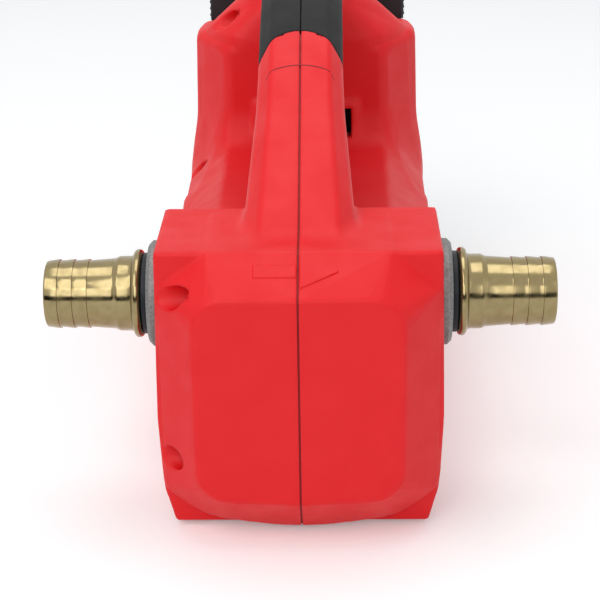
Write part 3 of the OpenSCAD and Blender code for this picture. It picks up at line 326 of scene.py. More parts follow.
# ferrite, ground: charcoal and dull
ferrite = newMaterial("groundFerrite", "#33343a", "#3d3e44", 0.7)
# copper wire, enamelled and wound: the bump stands for the turns
copper = newMaterial("enamelledCopper", "#b5683b", "#9c552d", 0.33, metallic=1.0, grain=0.7, grainDepth=0.08)
# bronze, sintered and oiled: brown, with a low shine
bronze = newMaterial("sinteredBronze", "#a98350", "#96723f", 0.4, metallic=1.0)
# brass strip, rolled: the blades that the pack slides over
contactBrass = newMaterial("rolledBrass", "#cfae6a", "#bd9b58", 0.25, metallic=1.0)
# carbon, pressed: near black and dusty
carbon = newMaterial("pressedCarbon", "#232326", "#2c2c30", 0.6)
# nylon without pigment, moulded: milky
naturalNylon = newMaterial("naturalNylon", "#dcd8c6", "#cfcab6", 0.45, ior=1.53)
# soft vinyl, extruded over wire: smooth, in the two usual colours
redSleeve = newMaterial("redWireSleeve", "#b01218", "#a01015", 0.4)
blackSleeve = newMaterial("blackWireSleeve", "#191919", "#212121", 0.4)
# vinyl film, shrunk round the cells: glossy blue
cellSleeve = newMaterial("shrinkSleeve", "#2a4d8f", "#234380", 0.25)
# epoxy lacquer, screened on the board: glossy green
boardGreen = newMaterial("solderMask", "#14512a", "#1a5f33", 0.3)
# acrylic, moulded and polished: the clear green of an unlit lamp window
lampWindow = newMaterial("tintedLampWindow", "#5fae74", "#6cbb80", 0.15, ior=1.49, grainDepth=0.004)

slotMaterials = {
    "red_nylon": redNylon, "black_rubber": gripRubber, "seal_rubber": nitrile,
    "cast_aluminium": castAluminium, "polished_brass": polishedBrass, "zinc_steel": zincSteel,
    "stainless": stainless, "gear_steel": gearSteel, "motor_steel": motorSteel, "ferrite": ferrite,
    "copper": copper, "bronze": bronze, "contact_brass": contactBrass, "carbon": carbon,
    "natural_nylon": naturalNylon, "black_nylon": blackNylon, "grey_nylon": greyNylon,
    "red_wire": redSleeve, "black_wire": blackSleeve, "cell_sleeve": cellSleeve,
    "circuit_board": boardGreen, "lamp_window": lampWindow,
}
for part in frame["record"]["subparts"]:
    node = frame["nodes"][part["node"]]
    node.data.materials.clear()
    node.data.materials.append(slotMaterials[part["material_slot"]])
    node.data.shade_smooth()
    node.data.set_sharp_from_angle(angle=math.radians(32))
print("materials made")

# rounded edges of the pack, the switch and the casting: width in millimetres, and segments
softEdges = {
    "pack_front_shell": (0.5, 2), "left_release": (0.5, 2), "right_release": (0.5, 2),
    "rocker": (0.4, 2), "pump_head": (0.6, 3), "battery_rails": (0.2, 1), "switch_body": (0.2, 1),
    "gauge_button": (0.2, 2),
}
for name, (width, segments) in softEdges.items():
    node = frame["nodes"][name]
    soften = node.modifiers.new("softEdge", "BEVEL")
    soften.width, soften.segments = width / 1000, segments
    soften.limit_method, soften.angle_limit = "ANGLE", math.radians(35)
    soften.harden_normals = True

housing = {
    "blockHalf": 43, "blockFront": -20.2, "blockRear": 20.4, "blockTop": 20.8, "blockBase": -70.25,
    "blockSides": ((44.1, -33), (43.3, -52), (42.8, -58.5)), "footHalf": 39.9, "footTilt": 1.0,
    "blockEdge": 1.5, "panelHalf": 31.5, "panelTop": 10.9, "panelBase": -56, "panelFront": -33,
    "panelCrown": 1.5, "panelRadius": 10.5, "panelEdge": 2.6, "bossTopHalf": 27.5, "ridgeFront": -17,
    "ridgeRear": 17, "ridgeTop": 21.5, "bossSideTop": 9.3, "bossSideLow": -58.3, "bossBaseHalf": 22,
    "bossCorner": ((37.1, -63.8), (30.7, -67.9)), "footCrown": 2.2, "flatHalf": 30.3,
    "flatHeight": 3.4, "barrelHalf": 40, "tailHalf": 45.6, "shoulder": -7, "bellyHeight": -50,
    "bellyHalf": 27, "barrelBase": -66, "barrelFront": 4, "creaseY": 100, "lapFront": 12,
    "lapRear": 16, "tailRun": 56, "tailTaper": 0.8, "ramp": 0.09, "wallY": 140, "recessY": 168,
    "cheekY": 179.6, "frontFlat": 30, "waistLow": 40.5, "uprightLow": 45.4, "waistHigh": 38.4,
    "uprightHigh": 42.6, "waistShare": 0.43, "sideShare": 0.7, "neckHeight": 46, "neckTop": 70,
    "neckHalf": 17, "neckWaist": 14, "neckFlat": 9.3, "neckInset": 6, "wall": 3, "seamHalf": 0.28,
    "seamEdge": 0.5, "seamBend": 6.4, "portHole": 13.7, "step": (1.2, 1.25, 1.25),
}
# how widely the body's edges are rounded and its inner corners filled
blend = {
    "panelFoot": 0.8, "uprightEdge": 6, "neckEdge": 12, "barrelEdge": 6, "crease": 0.6, "upright": 14,
    "block": 2, "leg": 2.6, "sideSpare": 0.5, "side": 2,
}
handle = {
    "centreY": 118.8, "centreZ": -47.5, "middleRadius": 115.5, "lean": math.radians(40),
    "halfThick": 14.5, "barHalf": 13.9, "legStart": 14.3, "legTaper": 0.068, "legFlare": 0.09,
    "legEnd": 60, "bevel": 6, "flatShare": 0.68, "edge": 1.4, "ease": 0.12,
    "tail": math.radians(-19.5), "tailEdge": 3,
    "gripFront": math.radians(27), "gripRear": math.radians(-9), "gripBow": math.radians(4.4),
    "gripRearBow": 0.3, "gripDepth": 2.4, "lineAt": math.radians(34), "lineBow": math.radians(2.1),
    "lineHalf": 0.22,
}
switch = {"height": 14.3, "slotHalf": 17.35, "slotRise": 5.4, "slotDepth": 9, "round": 0.8, "edge": 0.8,
          "collar": 2.3, "collarY": 137.8, "collarRound": 2, "collarFoot": 2.5}
vent = {"pitch": 6, "middle": 122, "half": 1.5, "top": -16, "base": -44, "depth": 6, "count": 5,
        "round": 1, "edge": 0.5}
recess = {"half": 31, "base": -52, "round": 1.5, "edge": 1, "blockHalf": 22.3, "blockDepth": 12,
          "blockBase": -50.3, "blockTop": -38.2, "blockRound": 0.5}
feet = {"x": 29, "y": (-8, 155.4), "radius": 6.1, "top": -69.6}
screw = {"post": 5.2, "mouthPost": 6.4, "bore": 1.8, "boreEnd": 12, "mouth": 3.7, "mouthEnd": -9,
         "mouthEdge": 0.8}
screwSpots = {
    "pump top": (-24, 8), "pump low": (-24, -45), "shoulder": (135, -4), "belly": (60, -58.32),
    "neck": (151.2, 51.2), "foot": (151.2, -58), "leg": (40.74, 37.77),
}
pastSeam, openEnd = -9, 400  # ends of a box where it only has to run out of the solid


def blockFaces(h):
    # the block: its outline in x and z, the foot set back a little, between its front and rear planes
    profile = [(h["blockHalf"], h["blockTop"], 0), *((x, z, 0) for x, z in h["blockSides"]),
               (h["footHalf"], h["blockBase"], h["footTilt"])]
    return hullFaces([(s * x, y, z) for s in (-1, 1) for x, z, back in profile
                      for y in (h["blockFront"] + back, h["blockRear"])])


def bossFaces(h):
    # the raised front: its panel outline with round corners, the crown at the seam, its foot on the block
    half, r = h["panelHalf"], h["panelRadius"]
    arc = np.radians(np.linspace(0, 90, 6))
    corner = [(half - r + r * math.cos(a), h["panelTop"] - r + r * math.sin(a)) for a in arc]
    corner += [(half - r + r * math.cos(a), h["panelBase"] + r - r * math.sin(a)) for a in arc]
    points = [(s * x, h["panelFront"], z) for s in (-1, 1) for x, z in corner]
    points += [(0, h["panelFront"] - h["panelCrown"], z) for z in (h["panelTop"], h["panelBase"])]
    points += [(0, y, h["ridgeTop"]) for y in (h["ridgeFront"], h["ridgeRear"])]
    points += [(s * h["bossTopHalf"], h["ridgeRear"], h["blockTop"]) for s in (-1, 1)]
    foot = [(h["bossTopHalf"], h["blockTop"]), (h["blockHalf"], h["bossSideTop"]),
            (h["blockHalf"], h["bossSideLow"]), *h["bossCorner"], (h["bossBaseHalf"], h["blockBase"])]
    points += [(s * x, h["blockFront"], z) for s in (-1, 1) for x, z in foot]
    points.append((0, h["blockFront"] - h["footCrown"], h["blockBase"]))
    return hullFaces(points)


def uprightRing(z, half, waist, flat, y0, y1, back, h=housing):
    # one level of the upright: flat in front, the waist and the full width at their shares of the
    # depth, and straight from there to the back
    waistY, sideY = (y0 + h[share] * (y1 - y0) for share in ("waistShare", "sideShare"))
    return [(s * x, y, z) for s in (-1, 1)
            for x, y in ((flat, y0), (waist, waistY), (half, sideY), (half, back))]


def barrelFaces(h, y0, half0, top0, y1, half1, top1):
    # eight-sided sections at two places along the barrel, and the hull between them
    points = []
    for y, half, top in ((y0, half0, top0), (y1, half1, top1)):
        outline = [(h["flatHalf"], top), (half, h["shoulder"]), (half, h["bellyHeight"]),
                   (h["bellyHalf"], h["barrelBase"])]
        points += [(s * x, y, z) for s in (-1, 1) for x, z in outline]
    return hullFaces(points)


def handlePlace(y, z, b):
    # angle round the arc's centre, height over the bar's middle line, and length down the leg
    py, pz = y - b["centreY"], z - b["centreZ"]
    angle = np.arctan2(-py, pz)
    s, c = math.sin(b["lean"]), math.cos(b["lean"])
    onLeg = angle > b["lean"]
    over = np.where(onLeg, -py * s + pz * c, np.hypot(py, pz)) - b["middleRadius"]
    down = np.where(onLeg, -(py * c + pz * s), 0)
    return angle, over, down


def handleField(x, y, z, b):
    # the bar's section, a rectangle with wide bevels, carried along the leg and the arc
    angle, over, down = handlePlace(y, z, b)
    ease = np.clip((b["lean"] - angle) / b["ease"], 0, 1)
    half = np.where(down > 0, b["legStart"] + b["legTaper"] * down,
                    b["legStart"] + (b["barHalf"] - b["legStart"]) * ease)
    up = np.where(over > 0, over - b["legFlare"] * down, -over) - b["halfThick"]
    wide = x - half
    dx = (1 - b["flatShare"]) * half
    size = np.hypot(dx, b["bevel"])
    field = softMax(wide, up, b["edge"])
    field = softMax(field, (wide * b["bevel"] + (up + b["bevel"]) * dx) / size, b["edge"])
    field = softMax(field, (b["tail"] - angle) * b["middleRadius"], b["tailEdge"])
    return np.maximum(field, down - b["legEnd"])


def gripField(x, y, z, b, swell=0.0):
    # inside where the overmould lies: between two bowed ends of the bar
    angle, over, _ = handlePlace(y, z, b)
    bow = b["gripBow"] * np.minimum(x / b["barHalf"], 1.1) ** 2
    reach = b["middleRadius"]
    ends = np.maximum((angle - b["gripFront"] - bow) * reach,
                      (b["gripRear"] - b["gripRearBow"] * bow - angle) * reach)
    return np.maximum(ends, -over - 2 * b["halfThick"]) - swell


blockPlanes, bossPlanes = blockFaces(housing), bossFaces(housing)
depths = (housing["frontFlat"], housing["wallY"], housing["recessY"])
lowRing = (housing["uprightLow"], housing["waistLow"], *depths)
highRing = (housing["uprightHigh"], housing["waistHigh"], *depths)
uprightPlanes = hullFaces(uprightRing(housing["blockBase"], *lowRing, housing["cheekY"])
                          + uprightRing(housing["neckHeight"], *highRing, housing["cheekY"]))
neckBack = housing["recessY"] - housing["neckInset"]
neckPlanes = hullFaces(
    uprightRing(0, *highRing, housing["recessY"])
    + uprightRing(housing["neckHeight"], *highRing, housing["recessY"])
    + uprightRing(housing["neckTop"], housing["neckHalf"], housing["neckWaist"], housing["neckFlat"],
                  housing["wallY"] + housing["neckInset"], neckBack, neckBack))
# barrel and tail both run past the crease, so that their rounded ends lie inside each other
crease, barrelFront = housing["creaseY"], housing["barrelFront"]
barrelEnd = crease + housing["lapRear"]
spread = (housing["tailHalf"] - housing["barrelHalf"]) / (crease - barrelFront)
barrelPlanes = barrelFaces(housing, barrelFront, housing["barrelHalf"], housing["flatHeight"], barrelEnd,
                           housing["barrelHalf"] + (barrelEnd - barrelFront) * spread, housing["flatHeight"])
tailPlanes = barrelFaces(
    housing, crease - housing["lapFront"], housing["tailHalf"] - housing["tailTaper"],
    housing["flatHeight"] - housing["lapFront"] * housing["ramp"], crease + housing["tailRun"],
    housing["tailHalf"], housing["flatHeight"] + housing["tailRun"] * housing["ramp"])


def bodyField(x, y, z, h=housing, r=blend):
    # everything outside the wall: block and boss, barrel, upright with its neck, and the handle
    x = np.abs(x)
    front = softMin(convexField(x, y, z, blockPlanes, h["blockEdge"]),
                    convexField(x, y, z, bossPlanes, h["panelEdge"]), r["panelFoot"])
    upright = np.minimum(convexField(x, y, z, uprightPlanes, r["uprightEdge"]),
                         convexField(x, y, z, neckPlanes, r["neckEdge"]))
    barrel = softMin(convexField(x, y, z, barrelPlanes, r["barrelEdge"]),
                     convexField(x, y, z, tailPlanes, r["barrelEdge"]), r["crease"])
    rear = softMin(barrel, upright, r["upright"])
    body = softMin(front, rear, r["block"])
    body = softMin(body, handleField(x, y, z, handle), r["leg"])
    return softMax(body, x - h["tailHalf"] - r["sideSpare"], r["side"])


def housingField(x, y, z, side):
    # one half: the body less its hollow, with posts and the switch's collar, less every opening
    h, s, v, r = housing, switch, vent, recess
    body = bodyField(x, y, z)
    ax = np.abs(x)
    # the wall is thicker under the overmould, and the screw posts stay standing in the hollow
    thick = h["wall"] + handle["gripDepth"] * (gripField(ax, y, z, handle, 2) < 0)
    axis = np.minimum.reduce([tubeField(y, z, spot, 0) for spot in screwSpots.values()])
    post = screw["post"] if side > 0 else screw["mouthPost"]
    hollow = np.maximum(body + thick, post - axis)
    field = np.maximum(body, -hollow)
    rise = s["slotRise"] + s["collar"]
    collar = boxField(ax, y, z - s["height"], (pastSeam, s["collarY"], -rise),
                      (s["slotHalf"] + s["collar"], h["wallY"] + h["wall"], rise), s["collarRound"])
    field = softMin(field, collar, s["collarFoot"])
    slot = boxField(ax, y, z - s["height"], (pastSeam, s["collarY"] - s["slotDepth"], -s["slotRise"]),
                    (s["slotHalf"], h["wallY"] + 4 * h["wall"], s["slotRise"]), s["round"])
    field = softMax(field, -slot, s["edge"])
    grip = np.maximum(gripField(ax, y, z, handle), -(body + handle["gripDepth"]))
    field = np.maximum(field, -grip)
    opening = boxField(ax, y, z, (pastSeam, h["recessY"], r["base"]), (r["half"], openEnd, openEnd),
                       r["round"])
    field = softMax(field, -opening, r["edge"])
    block = boxField(ax, y, z, (pastSeam, h["recessY"] - r["blockDepth"], r["blockBase"]),
                     (r["blockHalf"], openEnd, r["blockTop"]), r["blockRound"])
    field = np.maximum(field, -block)
    field = np.maximum(field, -tubeField(y, z, (0, 0), h["portHole"]))
    # the slots repeat at their pitch, the last one on each side of the middle taking all that is past it
    last = (v["count"] - 1) // 2
    middle = v["pitch"] * np.clip(np.round((y - v["middle"]) / v["pitch"]), -last, last) + v["middle"]
    slots = boxField(ax, y - middle, z, (h["tailHalf"] - v["depth"], -v["half"], v["base"]),
                     (openEnd, v["half"], v["top"]), v["round"])
    field = softMax(field, -slots, v["edge"])
    field = np.maximum(field, -np.maximum(axis - screw["bore"], x - screw["boreEnd"]))
    if side < 0:
        mouths = np.maximum(axis - screw["mouth"], x - screw["mouthEnd"])
        field = softMax(field, -mouths, screw["mouthEdge"])
    for footY in feet["y"]:
        well = np.maximum(tubeField(ax, y, (feet["x"], footY), feet["radius"]), z - feet["top"])
        field = np.maximum(field, -well)
    return softMax(field, h["seamHalf"] - side * x, h["seamEdge"])


def makeHousing(side, name, node):
    # the skin of one half's field, between the corners of the half that it dresses
    low, high = cadRange(node)
    piece = fieldPiece(name, lambda x, y, z: housingField(x, y, z, side), low, high, housing["step"],
                       redNylon)
    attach(piece, "housing")
    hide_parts(node)


makeHousing(-1, "leftShell", "left_housing")
makeHousing(1, "rightShell", "right_housing")
print("housing made")


# spare is how far the overmould may pass the one that it dresses, below and above it
grip = {"gap": 0.05, "endGap": 0.25, "endRound": 0.8, "seamHalf": 0.15, "seamEdge": 0.4,
        "spareLow": (0, 8, 6), "spareHigh": (0, 3, 0), "step": (1.0, 1.1, 1.1)}


def makeGrip(side, name, node):
    # overmould: the bar between the grip's bowed ends, outside the nylon core
    def field(x, y, z):
        # the bar's outer skin, as thick as the grip is deep, cut at the bowed ends and the seam
        ax = np.abs(x)
        body = handleField(ax, y, z, handle)
        skin = np.maximum(body, -(body + handle["gripDepth"] - grip["gap"]))
        skin = softMax(skin, gripField(ax, y, z, handle, -grip["endGap"]), grip["endRound"])
        return softMax(skin, grip["seamHalf"] - side * x, grip["seamEdge"])

    low, high = cadRange(node)
    piece = fieldPiece(name, field, low - grip["spareLow"], high + grip["spareHigh"], grip["step"],
                       gripRubber)
    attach(piece, "housing")
    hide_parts(node)


makeGrip(-1, "leftOvermould", "left_grip")
makeGrip(1, "rightOvermould", "right_grip")
print("grip made")


def makeRibbon(name, edgeA, edgeB, top, base, material):
    # a thin strip between two rows of points, moved along the skin's slope on to the skin and then
    # given its top and its base by their heights over the skin
    p = np.stack([edgeA, edgeB], 1).reshape(-1, 3)
    for _ in range(12):
        out = slopeOf(bodyField, p)
        p = p - 0.8 * bodyField(*p.T)[:, None] * out
    n = len(p)
    points = np.vstack([p + top * out, p + base * out])
    k = np.arange(0, n - 2, 2)
    faces = [np.stack(c, 1) for c in (
        (k, k + 1, k + 3, k + 2), (k + n, k + n + 2, k + n + 3, k + n + 1),
        (k, k + 2, k + n + 2, k + n), (k + 1, k + n + 1, k + n + 3, k + 3))]
    faces = np.vstack(faces + [np.array([[0, n, n + 1, 1], [n - 2, n - 1, 2 * n - 1, 2 * n - 2]])])
    piece = newPiece(name, points, faces, material)
    piece.data.set_sharp_from_angle(angle=math.radians(35))
    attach(piece, "housing")


def partingRow(s, shift, b=handle):
    # across the leg below the overmould, bowed down towards the sides
    angle = b["lineAt"] + b["lineBow"] * s ** 2 + shift / b["middleRadius"]
    out = np.stack([np.zeros(len(s)), -np.sin(angle), np.cos(angle)], 1)
    row = out * (b["middleRadius"] + b["halfThick"]) + (0, b["centreY"], b["centreZ"])
    row[:, 0] = 0.97 * b["barHalf"] * s
    return row


legWidth = np.linspace(-1, 1, 81)
# the parting line's strip is coloured with the darkened nylon: painted shade along a step too fine to model
makeRibbon("partingLine", partingRow(legWidth, -handle["lineHalf"]), partingRow(legWidth, handle["lineHalf"]),
           0.03, -0.3, paintedShadeNylon)


def seamRow(x, h=housing, b=handle):
    # along the seam from under the panel over the ridge and up the leg to the overmould
    front = h["panelFront"] - h["panelCrown"]
    bar = b["middleRadius"] + b["halfThick"]
    angle = np.linspace(b["lean"], b["gripFront"] + 0.01, 12)
    bends = [(h["blockFront"], h["blockBase"] + 0.5), (front, h["panelBase"]), (front, h["panelTop"]),
             (h["ridgeFront"], h["ridgeTop"]), (h["ridgeFront"] + h["seamBend"], h["blockTop"])]
    bends += [(b["centreY"] - bar * math.sin(a), b["centreZ"] + bar * math.cos(a)) for a in angle]
    bends = np.array(bends)
    run = np.concatenate([[0], np.cumsum(np.linalg.norm(np.diff(bends, axis=0), axis=1))])
    at = np.linspace(0, run[-1], 160)
    y, z = (np.interp(at, run, bends[:, c]) for c in (0, 1))
    return np.stack([np.full(len(at), x), y, z], 1)


# the tongue that closes the seam between the halves, a little below the skin, coloured with the darkened
# nylon as painted shade in the gap
makeRibbon("seamTongue", seamRow(-housing["seamHalf"]), seamRow(housing["seamHalf"]), -0.45, -0.9,
           paintedShadeNylon)

arrow = {"middle": 10.5, "shaftHalf": 2.4, "shaftLength": 13.1, "headHalf": 6.45, "headLength": 11.6,
         "height": 0.4, "rimHeight": 0.02, "bevel": 0.42, "sunk": 0.4, "seamGap": 0.05, "taper": 0.97}


def bevelPoint(x, t):
    # point of the top bevel, t up the slope from the panel's edge at the seam, dropped onto the skin
    h = housing
    foot = np.array([h["panelFront"] - h["panelCrown"], h["panelTop"]])
    head = np.array([h["ridgeFront"], h["ridgeTop"]])
    way = (head - foot) / np.linalg.norm(head - foot)
    across = np.array([-way[1], way[0]])
    p = np.stack([x, foot[0] + way[0] * t, foot[1] + way[1] * t], 1)
    for _ in range(12):
        gap = bodyField(*p.T)
        p[:, 1:] -= 0.9 * gap[:, None] * across
    return p, np.array([0, *across])


def makeArrow(side, name, reach, halfWidth):
    # a pad with a bevelled rim: u runs from the seam to the tip, v across, the half width falls with u on
    # the head and stays on the shaft, and only the points inside the rim stand proud
    run = arrow["bevel"]
    u = np.concatenate([[0, run / reach], np.linspace(0.15, 0.85, 12), [1 - run / reach, 1]])
    v = np.concatenate([[-1, run / halfWidth - 1], np.linspace(-0.5, 0.5, 5), [1 - run / halfWidth, 1]])
    u, v = np.meshgrid(u, v, indexing="ij")
    x = side * (housing["seamHalf"] + arrow["seamGap"] + u * reach)
    spread = halfWidth * ((1 - arrow["taper"] * u) if side > 0 else np.ones_like(u))
    face, up = bevelPoint(x.ravel(), (arrow["middle"] + v * spread).ravel())
    n, m = u.shape
    index = np.arange(n * m).reshape(n, m)
    quads = np.stack([index[:-1, :-1], index[1:, :-1], index[1:, 1:], index[:-1, 1:]], 2).reshape(-1, 4)
    rim = np.concatenate([index[:, 0], index[-1, 1:], index[-2::-1, -1], index[0, -2:0:-1]])
    height = np.full(n * m, arrow["height"])
    height[rim] = arrow["rimHeight"]
    points = np.vstack([face + up * height[:, None], face - up * arrow["sunk"]])
    skirt = np.stack([rim, rim + n * m, np.roll(rim, -1) + n * m, np.roll(rim, -1)], 1)
    faces = np.vstack([quads, quads[:, ::-1] + n * m, skirt])
    faces = faces[:, ::-1] if side < 0 else faces
    piece = newPiece(name, points, faces, redNylon)
    piece.data.set_sharp_from_angle(angle=math.radians(20))
    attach(piece, "housing")


makeArrow(-1, "arrowShaft", arrow["shaftLength"], arrow["shaftHalf"])
makeArrow(1, "arrowHead", arrow["headLength"], arrow["headHalf"])
print("arrow made")

pack = {
    "half": 38, "front": 190, "rear": 226, "top": 57, "base": -58, "corner": 3, "rearEdge": 5, "round": 2,
    "wall": 2.5, "outerLead": 8, "innerLead": 20, "buttonY": (192.7, 207.3), "buttonZ": (41.7, 51.3),
    "buttonRound": 0.8, "buttonEdge": 0.6, "ribX": (17.5, 20), "gaugeX": -11, "gaugeY": 215,
    "gaugeZ": 47, "gaugeRadius": 3.9, "gaugeEdge": 0.5, "lampX": (-2.2, 4.2, 10.6, 17.0),
    "lampHalf": (2.25, 1.35), "grooveZ": (-42, -35, -28, -21, -14), "grooveHalf": 1.3, "grooveDeep": 1.0,
    "grooveY": (197, 219), "grooveRound": 0.8, "grooveEdge": 0.5, "panel": (25, -36, 22),
    "panelDeep": 0.7, "panelRound": 2.5, "panelEdge": 0.6, "step": (0.9, 0.8, 0.9),
}


def packFaces(k, front):
    # the pack's block between its front and its back, with chamfered corners
    points = []
    for y, inset in ((front, 0), (k["rear"] - k["rearEdge"], 0), (k["rear"], k["rearEdge"])):
        w, c, top, base = k["half"] - inset, k["corner"], k["top"] - inset, k["base"] + inset
        points += [(s * x, y, z) for s in (-1, 1)
                   for x, z in ((w, top - c), (w - c, top), (w, base + c), (w - c, base))]
    return hullFaces(points)


def packField(x, y, z, k, outer, inner):
    # the rear half of the pack's block as a shell, less the windows for buttons, gauge and lamps, the
    # grip grooves in its sides and the shallow field on its back
    ax = np.abs(x)
    field = np.maximum(convexField(ax, y, z, outer, k["round"]), k["front"] - y)
    hollow = convexField(ax, y, z, inner, k["round"]) + k["wall"]
    rib = np.maximum(np.maximum(k["ribX"][0] - ax, ax - k["ribX"][1]),
                     np.maximum(k["buttonZ"][0] - z, z - k["top"]))
    field = np.maximum(field, -np.maximum(hollow, -rib))
    button = boxField(ax, y, z, (k["half"] / 2, k["buttonY"][0], k["buttonZ"][0]),
                      (openEnd, k["buttonY"][1], k["buttonZ"][1]), k["buttonRound"])
    field = softMax(field, -button, k["buttonEdge"])
    gauge = np.maximum(tubeField(x, z, (k["gaugeX"], k["gaugeZ"]), k["gaugeRadius"]), k["gaugeY"] - y)
    field = softMax(field, -gauge, k["gaugeEdge"])
    w, h = k["lampHalf"]
    for lampX in k["lampX"]:
        lamp = np.maximum(np.abs(x - lampX) - w, np.abs(z - k["gaugeZ"]) - h)
        lamp = np.maximum(lamp, k["gaugeY"] - y)
        field = np.maximum(field, -lamp)
    for grooveZ in k["grooveZ"]:
        groove = boxField(ax, y, z, (k["half"] - k["grooveDeep"], k["grooveY"][0], grooveZ - k["grooveHalf"]),
                          (openEnd, k["grooveY"][1], grooveZ + k["grooveHalf"]), k["grooveRound"])
        field = softMax(field, -groove, k["grooveEdge"])
    w, low, high = k["panel"]
    panel = boxField(ax, y, z, (pastSeam, k["rear"] - k["panelDeep"], low), (w, openEnd, high),
                     k["panelRound"])
    return softMax(field, -panel, k["panelEdge"])


# both blocks start before the shell's front edge, where the shell is cut off square
outerPack, innerPack = (packFaces(pack, pack["front"] - pack[lead]) for lead in ("outerLead", "innerLead"))
low, high = cadRange("pack_rear_shell")
packShell = fieldPiece("packRearShell", lambda x, y, z: packField(x, y, z, pack, outerPack, innerPack),
                       low, high, pack["step"], blackNylon)
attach(packShell, "battery")
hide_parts("pack_rear_shell")

ridge = {"x": 39.35, "sunk": 0.3, "proud": 0.7, "half": 0.7, "z": (43.8, 46.5, 49.2), "y": (194.5, 205.5)}


def makeRidges(side, name, body):
    # three finger ridges on a release button: half-round bars along the button
    angle = np.linspace(0, math.pi, 9)
    rings, faces = [], []
    for z in ridge["z"]:
        arc = np.stack([side * (ridge["x"] - ridge["sunk"] + ridge["proud"] * np.sin(angle)),
                        z + ridge["half"] * np.cos(angle)], 1)
        base = 2 * len(angle) * (len(rings) // 2)
        for y in ridge["y"]:
            rings.append(np.column_stack([arc[:, 0], np.full(len(arc), y), arc[:, 1]]))
        n = len(angle)
        i = np.arange(n)
        quads = np.stack([i, (i + 1) % n, (i + 1) % n + n, i + n], 1)[:, ::side] + base
        faces += quads.tolist() + [(i[::-1] + base)[::side].tolist(), (i + n + base)[::side].tolist()]
    piece = newPiece(name, np.vstack(rings), faces, greyNylon)
    piece.data.set_sharp_from_angle(angle=math.radians(40))
    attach(piece, body)


makeRidges(-1, "leftRidges", "left_release")
makeRidges(1, "rightRidges", "right_release")
print("pack made")

barb = {
    "bore": 8.2, "foot": 33, "thread": 9.6, "seat": 48.5, "beadRadius": 13.8, "bead": 2.8, "bell": 11.65,
    "bellEnd": 55.5, "neckEnd": 57.6, "cone": 10.95, "tube": 10.35, "rise": 0.4, "land": 0.5,
    "fall": 3.0, "crests": (65.16, 69.76, 74.36), "tip": 78.5,
}


def barbProfile(b):
    # distances and radii from the threaded foot over the rolled bead, the bell, which eases into a cone,
    # and the crests to the round tip; the profile's last side is the bore
    half, tube, tip = b["bead"] / 2, b["tube"], b["tip"]
    bead = [(b["seat"] + half * (1 + math.sin(a)), b["beadRadius"] - half * (1 - math.cos(a)))
            for a in np.radians(np.linspace(-90, 90, 13))]
    t = np.linspace(0, 1, 12)
    flare = b["bell"] + (b["cone"] - b["bell"]) * (3 * t ** 2 - 2 * t ** 3)
    bell = list(zip(b["bellEnd"] + (b["neckEnd"] - b["bellEnd"]) * t, flare))
    beadEnd = b["seat"] + b["bead"]
    outline = [(b["foot"], b["bore"]), (b["foot"], b["thread"]), (b["seat"], b["thread"]), *bead,
               (beadEnd + 0.3, b["bell"] + 0.25), (beadEnd + 1.2, b["bell"]), *bell]
    for crest in b["crests"]:  # a short steep climb, a flat land and a long fall to the next
        outline += [(crest - 0.35, tube + 0.04), (crest - 0.1, tube + 0.1), (crest, tube + b["rise"]),
                    (crest + b["land"], tube + b["rise"]), (crest + b["fall"], tube + 0.12)]
    outline[-1] = (tip - 0.6, tube + 0.02)
    outline += [(tip - 0.25, tube - 0.06), (tip - 0.05, tube - 0.25), (tip, tube - 0.5),
                (tip, b["bore"] + 0.4), (tip - 0.4, b["bore"])]
    return outline


for side, name, node in ((-1, "inletFitting", "inlet_barb"), (1, "outletFitting", "outlet_barb")):
    piece = turnedPiece(name, barbProfile(barb), side, polishedBrass, 128)
    piece.data.set_sharp_from_angle(angle=math.radians(32))
    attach(piece, "housing")
    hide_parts(node)

gasket = {"inner": 9.7, "outer": 12.6, "start": 46.5, "end": 48.5, "round": 0.5}
for side, name, node in ((-1, "inletWasher", "inlet_gasket"), (1, "outletWasher", "outlet_gasket")):
    outline = roundCorner([(gasket[along], gasket[out]) for along, out in (
        ("start", "inner"), ("start", "outer"), ("end", "outer"), ("end", "inner"))], gasket["round"])
    piece = turnedPiece(name, outline, side, nitrile)
    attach(piece, "housing")
    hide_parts(node)
print("fittings made")

view = {
    "target": (-0.0001, -0.09605, 0.06933), "distance": 0.5138, "azimuth": 1.35, "elevation": 22.4,
    "roll": 0.88, "lens": 99.03,
}
studio = {
    "floorHalf": 6, "floorColour": "#f4f4f3", "floorGlow": 0.2, "cardHalf": 4, "cardY": -2.6,
    "cardZ": (0.01, 0.75), "cardColour": "#1c1c1c", "worldColour": "#e9edf2", "worldStrength": 0.56,
}
# each lamp: place and aim in metres, its two sides in metres, and its power in watts
lamps = {
    "keyLamp": ((-0.55, -0.75, 1.05), (0, -0.05, 0.06), (0.9, 0.7), 4.6),
    "frontLamp": ((-0.12, -1.25, 0.62), (0, -0.05, 0.06), (0.9, 0.6), 3.6),
    "fillLamp": ((0.85, -0.7, 0.55), (0, -0.05, 0.06), (0.7, 0.9), 0.6),
    "topLamp": ((0.0, 0.15, 1.3), (0, 0, 0.05), (1.0, 0.8), 5.2),
}


